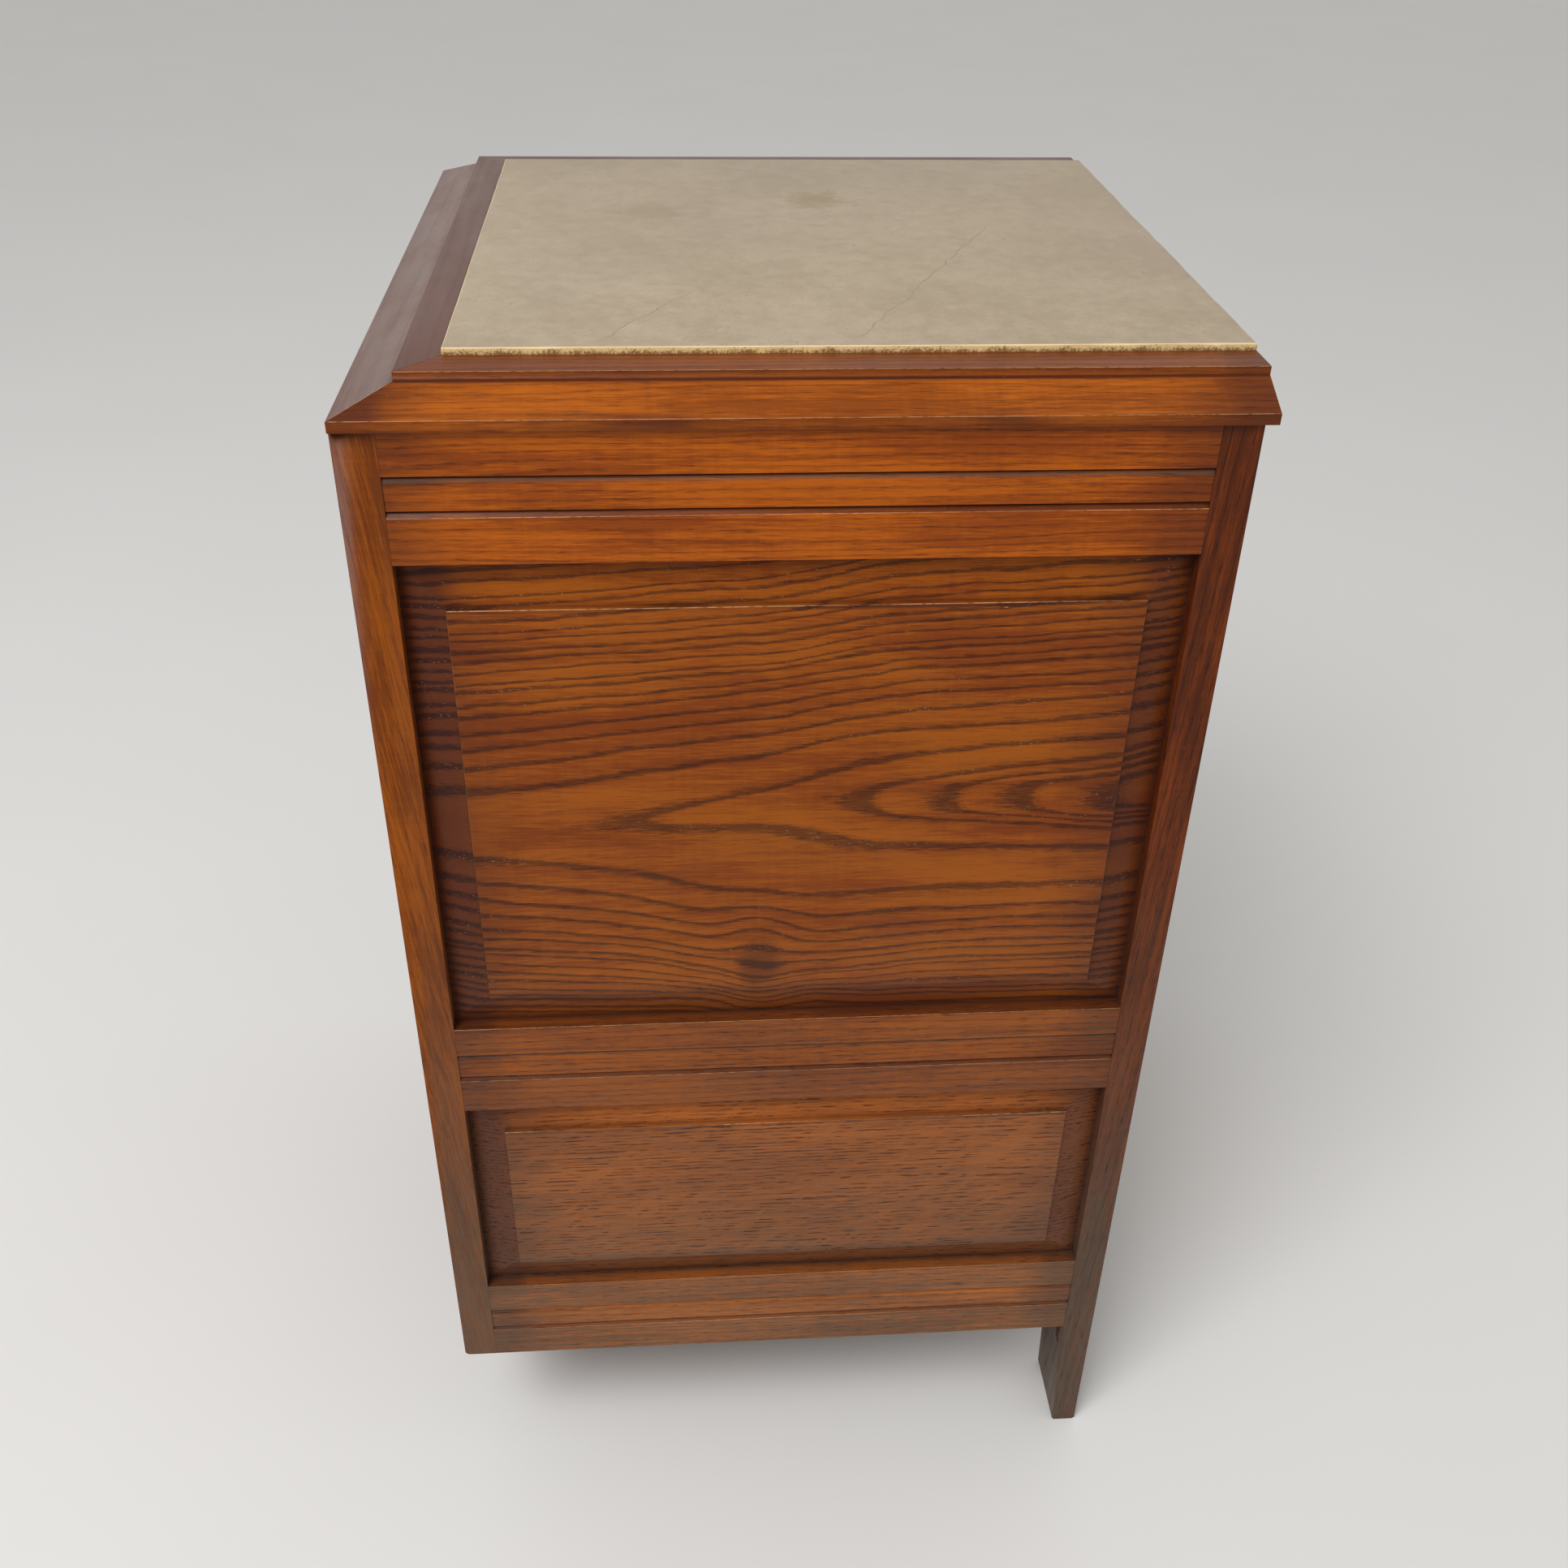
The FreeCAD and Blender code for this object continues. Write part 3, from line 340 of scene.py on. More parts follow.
def oak(name, grain, pale, deep, rings=straight_rings, lean=0.0, line_share=0.5, line_depth=0.35,
        pore_share=0.5, late_pores=0.3, pore_depth=0.6, ends=None, fade=0.04, border_share=0.0, moulding_light=0.0,
        handled=None, rubbed=0.2, tones=stain, gloss=1.23):
    """Oak with its grain along one axis of the nightstand and its rings laid out by a function.

    lean slants the grain. Line and pore values say how much of a year is dark and how strongly. ends,
    fade and border_share darken a board towards its ends and, as painted shade, on its lower bevel.
    moulding_light paints shade in the quirks and on the ledges of mouldings and a sheen on the beads'
    tops. handled is the spot that hands have worn, rubbed how bare the arrises are at the least, and
    gloss the varnish's index of refraction.
    """
    made, tree, shader = open_material(name)
    board = board_vector(tree, grain, lean)
    ring, dark, fleck = rings(tree, board)
    normal = facing(tree)
    spot = point_on(tree)
    arris = put(tree, "ShaderNodeAttribute", attribute_name="arris").outputs["Fac"]
    worn = {"Board": board, "Arris": arris, "Rubbed": rubbed}
    edges = put(tree, "ShaderNodeGroup", worn, node_tree=worn_lit_and_shaded_edges)
    if handled:
        away = vector_calc(tree, "DISTANCE", spot, handled, result="Value")
        tree.links.new(ramp(tree, away, hand_reach, 0.0), edges.inputs["Handled"])
    axis = {"X": (1, 0, 0), "Y": (0, 1, 0), "Z": (0, 0, 1)}[grain]
    cut = vector_calc(tree, "DOT_PRODUCT", normal, axis, result="Value")
    on_end_grain = ramp(tree, calc(tree, "ABSOLUTE", cut), 0.4, 0.9, 0.0, 0.8)
    dark = calc(tree, "MAXIMUM", dark, on_end_grain)
    if ends:
        through = (1, 0, 0) if grain == "Y" else (0, 1, 0)
        at_ends = dark_ends(tree, board, ends, fade, border_share, normal, through)
        dark = calc(tree, "MAXIMUM", dark, at_ends)
    sideways, forward, upward = split(tree, normal)
    # Painted shade on faces that turn downward.
    underneath = ramp(tree, upward, -0.1, -0.5, 0.0, 0.6)
    dark = calc(tree, "MAXIMUM", dark, underneath)
    # Mouldings are told apart by how far they face up: least on beads, then in quirks, most on ledges.
    # The beads' tops get a painted sheen, the quirks and ledges painted shade.
    on_beads = ramp(tree, upward, 0.1, 0.35, 0.0, moulding_light)
    on_beads = calc(tree, "MULTIPLY", on_beads, ramp(tree, upward, 0.62, 0.5))
    in_quirks = ramp(tree, upward, 0.52, 0.6, 0.0, 1.6 * moulding_light)
    in_quirks = calc(tree, "MULTIPLY", in_quirks, ramp(tree, upward, 0.85, 0.75))
    on_ledges = ramp(tree, upward, 0.9, 0.98, 0.0, 1.3 * moulding_light)
    dark = calc(tree, "MAXIMUM", dark, calc(tree, "MAXIMUM", in_quirks, on_ledges))
    # Painted sheen: the grey reflection of the floor, weaker on bevels and on the sunk bead and quirks.
    sheen = put(tree, "ShaderNodeGroup", {"Board": board}, node_tree=floor_reflection).outputs["Dull"]
    upright = calc(tree, "MAXIMUM", calc(tree, "ABSOLUTE", sideways), calc(tree, "ABSOLUTE", forward))
    sheen = calc(tree, "MULTIPLY", sheen, ramp(tree, upright, bevel_lean, flat_lean, 0.5, 1.0))
    if moulding_light:
        outward = calc(tree, "ABSOLUTE", split(tree, spot)[0])
        sunk = calc(tree, "LESS_THAN", outward, rail_face - bead_sunk)
        sheen = calc(tree, "MULTIPLY", sheen, ramp(tree, sunk, 0.0, 1.0, 1.0, 0.75))
    rows = {"Board": board, "Ring": ring, "Line Share": calc(tree, "MULTIPLY_ADD", dark, 0.3, line_share)}
    rows.update({"Pore Share": pore_share, "Late Pores": late_pores})
    lines = put(tree, "ShaderNodeGroup", rows, node_tree=annual_rings)
    off_flecks = ramp(tree, fleck, 0.0, 1.0, pore_depth, 0.0)
    inputs = {"Board": board, "Pale": pale, "Deep": deep, **tones}
    inputs["Line Mask"] = calc(tree, "MULTIPLY", lines.outputs["Line"], line_depth)
    inputs["Pores Mask"] = calc(tree, "MULTIPLY", lines.outputs["Pores"], off_flecks)
    inputs["Dark Mask"] = dark
    inputs["Wear Mask"] = edges.outputs["Wear"]
    inputs["Grime Mask"] = edges.outputs["Grime"]
    inputs["Dull Mask"] = calc(tree, "MAXIMUM", sheen, on_beads)
    finish = put(tree, "ShaderNodeGroup", inputs, node_tree=stained_oak).outputs
    dress(tree, shader, finish["Colour"], finish["Roughness"], finish["Height"],
          strength=0.35, distance=0.0004)
    shader.inputs["IOR"].default_value = gloss
    return made


all_corners = []
all_sheets = []
sheet_owners = []
for node, source in frame["nodes"].items():
    first = len(all_corners)
    all_sheets += [[first + index for index in face.vertices] for face in source.data.polygons]
    sheet_owners += [node] * len(source.data.polygons)
    all_corners += [vertex.co for vertex in source.data.vertices]
all_pieces = BVHTree.FromPolygons(all_corners, all_sheets)


def touches(node, spot, course, reach=0.0006):
    """Whether another built piece is met within reach of a spot of one piece."""
    step_past = 1e-6
    while reach > 0:
        place, _, sheet, gone = all_pieces.ray_cast(spot, course, reach)
        if sheet is None:
            return False
        if sheet_owners[sheet] != node:
            return True
        spot = place + course * step_past
        reach -= gone + step_past
    return False


def jointed(node, edge):
    """Whether an edge of a piece lies against another piece somewhere along its length."""
    inset = 0.0004
    under = 0.00005
    first, second = (face.normal for face in edge.link_faces)
    for share in (0.08, 0.25, 0.5, 0.75, 0.92):
        spot = edge.verts[0].co.lerp(edge.verts[1].co, share)
        if touches(node, spot - first * inset - second * under, second):
            return True
        if touches(node, spot - second * inset - first * under, first):
            return True
    return False


def outer_edges(shape, least_turn=radians(35), least_length=0.006):
    """The long outer edges of a shape that turn by more than a little."""
    found = [edge for edge in shape.edges if edge.is_manifold and edge.is_convex]
    found = [edge for edge in found if edge.calc_length() > least_length]
    return [edge for edge in found if edge.calc_face_angle() > least_turn]


def wear_and_glint_on(face):
    """How much a rounded arris is rubbed and given a painted highlight.

    Most where it faces up, hardly where it is upright, and none where it faces down.
    """
    if face.normal.z > 0.1:
        return 1.0
    return 0.2 if face.normal.z > -0.3 else 0.0


def eased(node, material, arris=0.0005):
    """A copy of a built piece that stands for it, its joints barely eased and its free arrises rounded.

    The colour layer named arris marks how much each rounded arris is rubbed and given a painted highlight.
    """
    joint_ease = 0.00018
    flat_turn = radians(0.5)
    smooth_turn = radians(9)
    source = frame["nodes"][node]
    shape = bmesh.new()
    shape.from_mesh(source.data)
    bmesh.ops.remove_doubles(shape, verts=shape.verts, dist=1e-6)
    bmesh.ops.dissolve_limit(shape, angle_limit=flat_turn, verts=shape.verts, edges=shape.edges)
    mark = shape.loops.layers.float_color.new("arris")
    for edge in shape.edges:
        edge.smooth = edge.calc_face_angle(0.0) < smooth_turn
    joints = [edge for edge in outer_edges(shape) if jointed(node, edge)]
    bmesh.ops.bevel(shape, geom=joints, offset=joint_ease, segments=1, affect="EDGES", clamp_overlap=True)
    free = [edge for edge in outer_edges(shape) if not jointed(node, edge)]
    bmesh.ops.bevel(shape, geom=free, offset=arris, segments=2, profile=0.5, affect="EDGES",
                    clamp_overlap=True, material=1)
    for face in shape.faces:
        face.smooth = True
        rounded = face.material_index == 1
        face.material_index = 0
        for loop in face.loops:
            loop.edge.smooth = loop.edge.smooth or rounded
            worn = wear_and_glint_on(face) if rounded else 0.0
            loop[mark] = (worn, worn, worn, 1.0)
    mesh = bpy.data.meshes.new(node + "_eased")
    shape.to_mesh(mesh)
    shape.free()
    piece = bpy.data.objects.new(node + "_eased", mesh)
    bpy.context.scene.collection.objects.link(piece)
    piece.modifiers.new("flat faces stay flat", "WEIGHTED_NORMAL").keep_sharp = True
    mesh.materials.append(material)
    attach(piece, source["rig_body"])
    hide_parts(node)
    return piece


rail_pale = colour(0.430, 0.096, 0.003)
rail_deep = colour(0.245, 0.047, 0.003)
stile_pale = colour(0.270, 0.066, 0.004)
stile_deep = colour(0.140, 0.031, 0.003)
middle_pale = colour(0.330, 0.078, 0.004)
middle_deep = colour(0.190, 0.040, 0.003)
bottom_pale = colour(0.560, 0.146, 0.010)
bottom_deep = colour(0.310, 0.074, 0.006)
back_pale = colour(0.170, 0.033, 0.004)
back_deep = colour(0.080, 0.016, 0.003)
between_stiles = (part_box("front_stile_right")[1].y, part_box("back_stile_right")[0].y)
top_rail_oak = oak("varnished oak, top side rails", "Y", rail_pale, rail_deep, late_pores=0.4,
                   pore_depth=0.5, ends=between_stiles, moulding_light=0.4, rubbed=0.4)
middle_rail_oak = oak("varnished oak, middle side rails", "Y", middle_pale, middle_deep, late_pores=0.5,
                      pore_depth=0.7, ends=between_stiles, moulding_light=0.4, rubbed=0.75)
bottom_rail_oak = oak("varnished oak, bottom side rails", "Y", bottom_pale, bottom_deep, late_pores=0.5,
                      pore_depth=0.7, ends=between_stiles, moulding_light=0.4, rubbed=0.4, tones=low_stain)
stile_oak = oak("varnished oak, front stiles", "Z", stile_pale, stile_deep, lean=0.10, line_depth=0.18,
                pore_depth=0.3)
back_stile_oak = oak("varnished oak, back stiles", "Z", back_pale, back_deep, lean=-0.06)
for side in ("left", "right"):
    eased(f"front_stile_{side}", stile_oak)
    eased(f"back_stile_{side}", back_stile_oak)
    eased(f"side_top_rail_{side}", top_rail_oak)
    eased(f"side_middle_rail_{side}", middle_rail_oak)
    eased(f"side_bottom_rail_{side}", bottom_rail_oak)

# Side panels
# Each panel is one wide flat-sawn board with a bevelled border, held loose in the frame's grooves.
# The saw cut the upper board close to the heart, so its rings open as nested arches round a knot.
frame_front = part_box("front_stile_right")[0].y
band_share = 0.4


def arched_rings(tree, board, axis, rings, taper, knot_place, knot_size, sag):
    """Ring count of a flat-sawn board, and a mask of its knot.

    Places along the board are counted from frame_front. axis is the heights of the arches' centre line at
    the front and back. rings pairs the place at which each ring closes with the length of its dark band
    there. taper is the rings' rise for each metre along, and sag how far the rings below the arches dip
    towards the knot.
    """
    slow = calc(tree, "SUBTRACT", drawn_noise(tree, board, 4, 20, 1.0), 0.5)
    quick = calc(tree, "SUBTRACT", drawn_noise(tree, board, 26, 60, 3.0), 0.5)
    wave = calc(tree, "MULTIPLY_ADD", slow, 0.008, calc(tree, "MULTIPLY", quick, 0.0045))
    place = split(tree, board)
    along = calc(tree, "SUBTRACT", place[0], frame_front)
    height = calc(tree, "ADD", wave, place[1])
    # The knot, longer up and down than along, pushes the nearest rings apart.
    knot_along = calc(tree, "MULTIPLY", calc(tree, "SUBTRACT", along, knot_place[0]), 1.7)
    knot_height = calc(tree, "SUBTRACT", height, knot_place[1])
    along_squared = calc(tree, "POWER", knot_along, 2.0)
    squared = calc(tree, "ADD", along_squared, calc(tree, "POWER", knot_height, 2.0))
    swirl = calc(tree, "EXPONENT", calc(tree, "DIVIDE", squared, -((1.6 * knot_size) ** 2)))
    pushed = calc(tree, "MULTIPLY", calc(tree, "MULTIPLY", knot_height, swirl), -0.7)
    # The arches' centre line climbs towards the back.
    centre_reach = 0.018
    aside = calc(tree, "DIVIDE", calc(tree, "SUBTRACT", height, axis[0]), centre_reach)
    central = calc(tree, "DIVIDE", 1.0, calc(tree, "ADD", 1.0, calc(tree, "POWER", aside, 2.0)))
    rise = ramp(tree, along, 0.08, 0.22, 0.0, axis[1] - axis[0])
    centre = calc(tree, "MULTIPLY_ADD", rise, central, axis[0])
    # Below the arches the rings sag towards the knot.
    hollow_reach = 0.081
    depth = calc(tree, "SUBTRACT", centre, height)
    hollow = calc(tree, "EXPONENT", calc(tree, "MULTIPLY", along_squared, -1 / hollow_reach ** 2))
    dip = calc(tree, "MULTIPLY", ramp(tree, depth, 0.014, 0.042), ramp(tree, knot_height, -0.026, -0.002))
    sagged = calc(tree, "MULTIPLY", calc(tree, "MULTIPLY", hollow, dip), sag)
    # The arches open from rounded tips, blunter and wider towards the back.
    tip_radius = 0.005
    spread = calc(tree, "ADD", calc(tree, "SUBTRACT", height, centre), calc(tree, "ADD", pushed, sagged))
    blunt = calc(tree, "SUBTRACT", calc(tree, "ABSOLUTE", spread), ramp(tree, along, 0.17, 0.24, 0.0, 0.007))
    blunt = calc(tree, "MAXIMUM", blunt, 0.0)
    rounded = calc(tree, "SQRT", calc(tree, "ADD", calc(tree, "POWER", blunt, 2.0), tip_radius ** 2))
    above = calc(tree, "MULTIPLY", ramp(tree, spread, 0.0, 0.010), ramp(tree, spread, 0.055, 0.030))
    wider = calc(tree, "MULTIPLY_ADD", above, ramp(tree, along, 0.17, 0.26, 0.0, 0.6 * taper), taper)
    opened = calc(tree, "DIVIDE", calc(tree, "SUBTRACT", rounded, tip_radius), wider)
    # Far from the centre line, and below it behind the knot, the rings run level.
    level_reach = 0.09
    far = calc(tree, "MAXIMUM", calc(tree, "SUBTRACT", along, knot_place[0]), 0.0)
    level = calc(tree, "MULTIPLY", far, ramp(tree, depth, 0.010, 0.032, 0.0, 0.95))
    outward = calc(tree, "POWER", calc(tree, "DIVIDE", spread, level_reach), 2.0)
    fade = calc(tree, "DIVIDE", 1.0, calc(tree, "ADD", 1.0, outward))
    levelled = calc(tree, "MULTIPLY", calc(tree, "SUBTRACT", along, level), fade)
    closing = calc(tree, "SUBTRACT", levelled, opened)
    # A curve turns the place at which a ring closes into the count of rings.
    low = rings[0][0] - rings[0][1]
    span = rings[-1][0] - low
    share = calc(tree, "DIVIDE", calc(tree, "SUBTRACT", closing, low), span)
    counter = put(tree, "ShaderNodeFloatCurve", {"Value": share})
    curve = counter.mapping.curves[0]
    top = len(rings) - 1 + band_share
    for number, (apex, band) in enumerate(rings):
        for reached, count in ((apex - band, number), (apex, number + band_share)):
            spot = ((reached - low) / span, count / top)
            if spot[0] < 1e-6 or spot[0] > 1 - 1e-6:
                curve.points[0 if spot[0] < 0.5 else -1].location = spot
            else:
                curve.points.new(*spot)
    for point in curve.points:
        point.handle_type = "VECTOR"
    counter.mapping.extend = "EXTRAPOLATED"
    counter.mapping.use_clip = False
    counter.mapping.update()
    ring = calc(tree, "MULTIPLY_ADD", counter.outputs[0], top, -band_share)
    away = calc(tree, "SQRT", squared)
    ragged = calc(tree, "MULTIPLY_ADD", drawn_noise(tree, board, 90, 90, 3.0), 0.012, away)
    return ring, ramp(tree, ragged, 1.5 * knot_size, 0.7 * knot_size, 0.0, 0.65), 0.0


def outer_rings(first, count):
    """Rings that close one after another in front of a first one, unevenly spaced."""
    rings = [(first, 0.024)]
    for number in range(count):
        gap = 0.039 + 0.010 * sin(2.4 * number)
        band = 0.020 + 0.006 * sin(1.7 * number)
        rings.insert(0, (rings[0][0] - gap, band))
    return rings


def field_heights(node):
    """Heights of the lower and upper edge of a panel's raised field."""
    points = [vertex.co for vertex in frame["nodes"][node].data.vertices]
    face = max(point.x for point in points)
    heights = [point.z for point in points if point.x > face - 1e-5]
    return min(heights), max(heights)


def dark_edges_and_shade(tree, board, node, below, above):
    """Where a panel is darker: dark polish and painted shade in the frame's corners, a broken dark line
    under the field's top edge, and painted shade along the field's lower edge.
    """
    place = split(tree, board)
    from_front = calc(tree, "SUBTRACT", place[0], between_stiles[0])
    from_back = calc(tree, "SUBTRACT", between_stiles[1], place[0])
    from_below = calc(tree, "SUBTRACT", place[1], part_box(below)[1].z)
    from_above = calc(tree, "SUBTRACT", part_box(above)[0].z, place[1])
    # Painted shade with dark polish, deepest in the frame's corners.
    into_corner = calc(tree, "ADD", calc(tree, "MINIMUM", from_front, from_back),
                       calc(tree, "MINIMUM", from_below, from_above))
    uneven = calc(tree, "MULTIPLY_ADD", drawn_noise(tree, board, 40, 80, 3.0), 0.03, into_corner)
    low, high = field_heights(node)
    line = ramp(tree, place[1], high - 0.0026, high - 0.0012)
    line = calc(tree, "MULTIPLY", line, calc(tree, "LESS_THAN", place[1], high))
    broken = ramp(tree, drawn_noise(tree, board, 14, 14, 3.0), 0.35, 0.6, 0.15, 0.85)
    line = calc(tree, "MULTIPLY", line, broken)
    shade = ramp(tree, place[1], low + 0.008, low, 0.0, 0.6)
    shade = calc(tree, "MULTIPLY", shade, calc(tree, "GREATER_THAN", place[1], low))
    dark = calc(tree, "MAXIMUM", ramp(tree, uneven, 0.055, 0.02, 0.0, 0.95), line)
    return calc(tree, "MAXIMUM", dark, shade)


def upper_panel_rings(tree, board):
    """Arches and a knot, with heights counted from the lower edge of the field, and dark polish and
    painted shade at the edges.
    """
    low = field_heights("side_upper_panel_right")[0]
    arches = [(-0.273, 0.026), (-0.218, 0.027), (-0.145, 0.034), (-0.041, 0.046), (0.131, 0.056)]
    arches += [(0.235, 0.036), (0.274, 0.028), (0.311, 0.030), (0.354, 0.028), (0.405, 0.028)]
    rings = outer_rings(-0.335, 15) + arches
    ring, knot, fleck = arched_rings(tree, board, axis=(low + 0.106, low + 0.119), rings=rings, taper=0.148,
                                     knot_place=(0.176, low + 0.019), knot_size=0.021, sag=0.011)
    edge_darkening = dark_edges_and_shade(tree, board, "side_upper_panel_right", below="side_middle_rail_right",
                        above="side_top_rail_right")
    return ring, calc(tree, "MAXIMUM", knot, edge_darkening), fleck


def lower_panel_rings(tree, board):
    """Close, straight rings, dark polish and painted shade at the edges, and slanting ray flecks that
    hold no pores.
    """
    ring = straight_rings(tree, board, spacing=0.0028, tilt=0.0)[0]
    rays = drawn_noise(tree, board_vector(tree, "Y", lean=-0.9), 20, 110, 2.0)
    edge_darkening = dark_edges_and_shade(tree, board, "side_lower_panel_right", below="side_bottom_rail_right",
                        above="side_middle_rail_right")
    return ring, edge_darkening, ramp(tree, rays, 0.54, 0.62, 0.0, 0.8)


panel_pale = colour(0.315, 0.078, 0.004)
panel_deep = colour(0.200, 0.039, 0.003)
low_pale = colour(0.450, 0.118, 0.012)
low_deep = colour(0.310, 0.076, 0.008)
upper_panel_oak = oak("varnished oak, upper panels", "Y", panel_pale, panel_deep, upper_panel_rings,
                      line_share=band_share, line_depth=0.76, pore_depth=0.5, ends=between_stiles,
                      fade=0.06, border_share=0.35)
lower_panel_oak = oak("varnished oak, lower panels", "Y", low_pale, low_deep, lower_panel_rings,
                      line_depth=0.15, pore_share=1.0, late_pores=0.12, pore_depth=0.9,
                      ends=between_stiles, fade=0.055, border_share=0.65, tones=low_stain)
for side in ("left", "right"):
    eased(f"side_upper_panel_{side}", upper_panel_oak, arris=0.0003)
    eased(f"side_lower_panel_{side}", lower_panel_oak, arris=0.0002)

# Front and back rails, and back panel
# Plain oak rails tenoned between the stiles close the front and back. The back is one flat panel of
# bare oak, slid into grooves; it was never meant to be seen.
inside_pale = colour(0.500, 0.290, 0.125)
inside_deep = colour(0.350, 0.180, 0.068)
unstained = {
    "Early Wood": colour(0.450, 0.420, 0.400),
    "Dark": colour(0.200, 0.110, 0.050),
    "Veil": colour(0.330, 0.200, 0.100),
    "Polish And Shade": colour(0.060, 0.032, 0.016),
    "Bare Wood And Glint": colour(0.520, 0.360, 0.210),
}
cross_rail_oak = oak("varnished oak, cross rails", "X", rail_pale, rail_deep)
upright_inside_oak = oak("bare oak, upright", "Z", inside_pale, inside_deep, tones=unstained)
back_rail_oak = oak("varnished oak, back rails", "X", back_pale, back_deep)
for node in ("front_top_rail", "drawer_rail", "front_bottom_rail"):
    eased(node, cross_rail_oak)
for node in ("back_top_rail", "back_bottom_rail"):
    eased(node, back_rail_oak)
eased("back_panel", upright_inside_oak)

# Bottom, shelf and door stop
# Boards of bare oak lie on cleats glued inside the side frames, and are left plain, as they hardly show.
# A small block of the same wood stops the door.
cross_inside_oak = oak("bare oak, across", "X", inside_pale, inside_deep, tones=unstained)
deep_inside_oak = oak("bare oak, front to back", "Y", inside_pale, inside_deep, tones=unstained)
for node in ("bottom_board", "shelf", "door_stop"):
    eased(node, cross_inside_oak)
for node in ("bottom_cleats", "shelf_cleats"):
    eased(node, deep_inside_oak)

# Plinth
# A recessed base of oak, stained as the rest, carries the front. One board runs across and two run back
# from it, glued up under the carcass.
plinth_side_oak = oak("varnished oak, plinth sides", "Y", rail_pale, rail_deep)
eased("plinth_front", cross_rail_oak, arris=0.0008)
eased("plinth_sides", plinth_side_oak, arris=0.0008)

# Drawer supports
# Runners, guides and stops of bare oak on both sides carry the drawer, keep it straight and stop it.
# The runners are let into the frame with stub tenons.
for node in ("drawer_runners", "drawer_guides", "drawer_stops"):
    eased(node, deep_inside_oak)

# Wooden top
# A moulded frame is mitred at the two front corners, with a flat, a short step and a bevel all round.
# A plain board fills it under the stone.
top_pale = colour(0.400, 0.096, 0.005)
top_deep = colour(0.230, 0.050, 0.003)
# The front and left pieces take a greyer brown that paints in the room's reflection on their faces.
top_grey_sheen = colour(0.170, 0.085, 0.062)
top_grey_sheen_deep = colour(0.135, 0.064, 0.046)
fillet_height = 0.005
step_height = 0.0037
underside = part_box("top_frame_front")[0].z
bevel_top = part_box("top_frame_front")[1].z - step_height


def moulded_rings(tree, board):
    """Straight rings, darker on the moulding's lower edge and above its bevel, with painted shade in
    the crease at the bevel's top.
    """
    ring, _, fleck = straight_rings(tree, board, tilt=-0.7)
    height = split(tree, point_on(tree))[2]
    streaked = calc(tree, "MULTIPLY_ADD", drawn_noise(tree, board, 20, 400, 2.0), -0.006, height)
    low = ramp(tree, streaked, underside + fillet_height, underside + 0.1 * fillet_height, 0.0, 0.75)
    patches = ramp(tree, drawn_noise(tree, board, 14, 30, 2.0), 0.38, 0.62, 0.3, 1.0)
    low = calc(tree, "MULTIPLY", low, patches)
    high = ramp(tree, height, bevel_top - 0.0012, bevel_top, 0.0, 0.55)
    # Painted shade in the crease where the step meets the bevel.
    corner = ramp(tree, calc(tree, "ABSOLUTE", calc(tree, "SUBTRACT", height, bevel_top)), 0.0008, 0.0003)
    return ring, calc(tree, "MAXIMUM", calc(tree, "MAXIMUM", low, high), corner), fleck


top_ends = (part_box("top_frame_right")[0].y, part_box("top_frame_right")[1].y)
near_corner = (cad_box[1].x, cad_box[0].y, underside + fillet_height)
front_top_oak = oak("varnished oak, top front", "X", top_grey_sheen, top_grey_sheen_deep, moulded_rings, line_depth=0.12,
                    pore_depth=0.2, handled=near_corner, gloss=1.34)
left_top_oak = oak("varnished oak, top left", "Y", top_grey_sheen, top_grey_sheen_deep, moulded_rings, gloss=1.5)
right_top_oak = oak("varnished oak, top right", "Y", top_pale, top_deep, moulded_rings, line_depth=0.25,
                    pore_depth=0.45, ends=top_ends, fade=0.06, handled=near_corner, rubbed=0.6)
eased("top_frame_front", front_top_oak, arris=0.0009)
eased("top_frame_left", left_top_oak, arris=0.0009)
eased("top_frame_right", right_top_oak, arris=0.0009)
eased("top_board", cross_inside_oak)

# Stone slab
# A thin slab of honed beige stone lies in the frame and stands a little proud of it. Its edges are
# cream where they are worn and chipped, with a painted highlight along the rounded top edge; two
# hairline cracks run in from the side, and it is stained.
slab_low, slab_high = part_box("stone_top")
slab_middle = (slab_low + slab_high) / 2


def slab_mesh(low, high):
    """The slab, with its top edge worn by an uneven amount and chipped here and there."""
    step = 0.003
    arc_steps = 3
    corners = [(low.x, low.y), (high.x, low.y), (high.x, high.y), (low.x, high.y)]
    rim = []
    for start, end in zip(corners, corners[1:] + corners[:1]):
        count = round(hypot(end[0] - start[0], end[1] - start[1]) / step)
        for index in range(count):
            share = index / count
            x = start[0] + share * (end[0] - start[0])
            y = start[1] + share * (end[1] - start[1])
            rim.append(Vector((x, y, 0)))
    shape = bmesh.new()
    rings = []
    for level in range(arc_steps + 2):
        ring = []
        for point in rim:
            chip = 0.0022 * max(0.0, noise.noise(point * 140) - 0.45)
            worn = 0.0007 + 0.0005 * noise.noise(point * 60) + chip
            turn = max(0, level - 1) / arc_steps * pi / 2
            back = worn * (1 - cos(turn))
            height = low.z if level == 0 else high.z - worn * (1 - sin(turn))
            x = min(max(point.x, low.x + back), high.x - back)
            y = min(max(point.y, low.y + back), high.y - back)
            ring.append(shape.verts.new((x, y, height)))
        rings.append(ring)
    for lower, upper in zip(rings, rings[1:]):
        for index in range(len(rim)):
            after = (index + 1) % len(rim)
            shape.faces.new((lower[index], lower[after], upper[after], upper[index]))
    shape.faces.new(rings[-1])
    shape.faces.new(reversed(rings[0]))
    mesh = bpy.data.meshes.new("stone_slab")
    shape.to_mesh(mesh)
    shape.free()
    mesh.shade_smooth()
    mesh.set_sharp_from_angle(angle=radians(55))
    return mesh


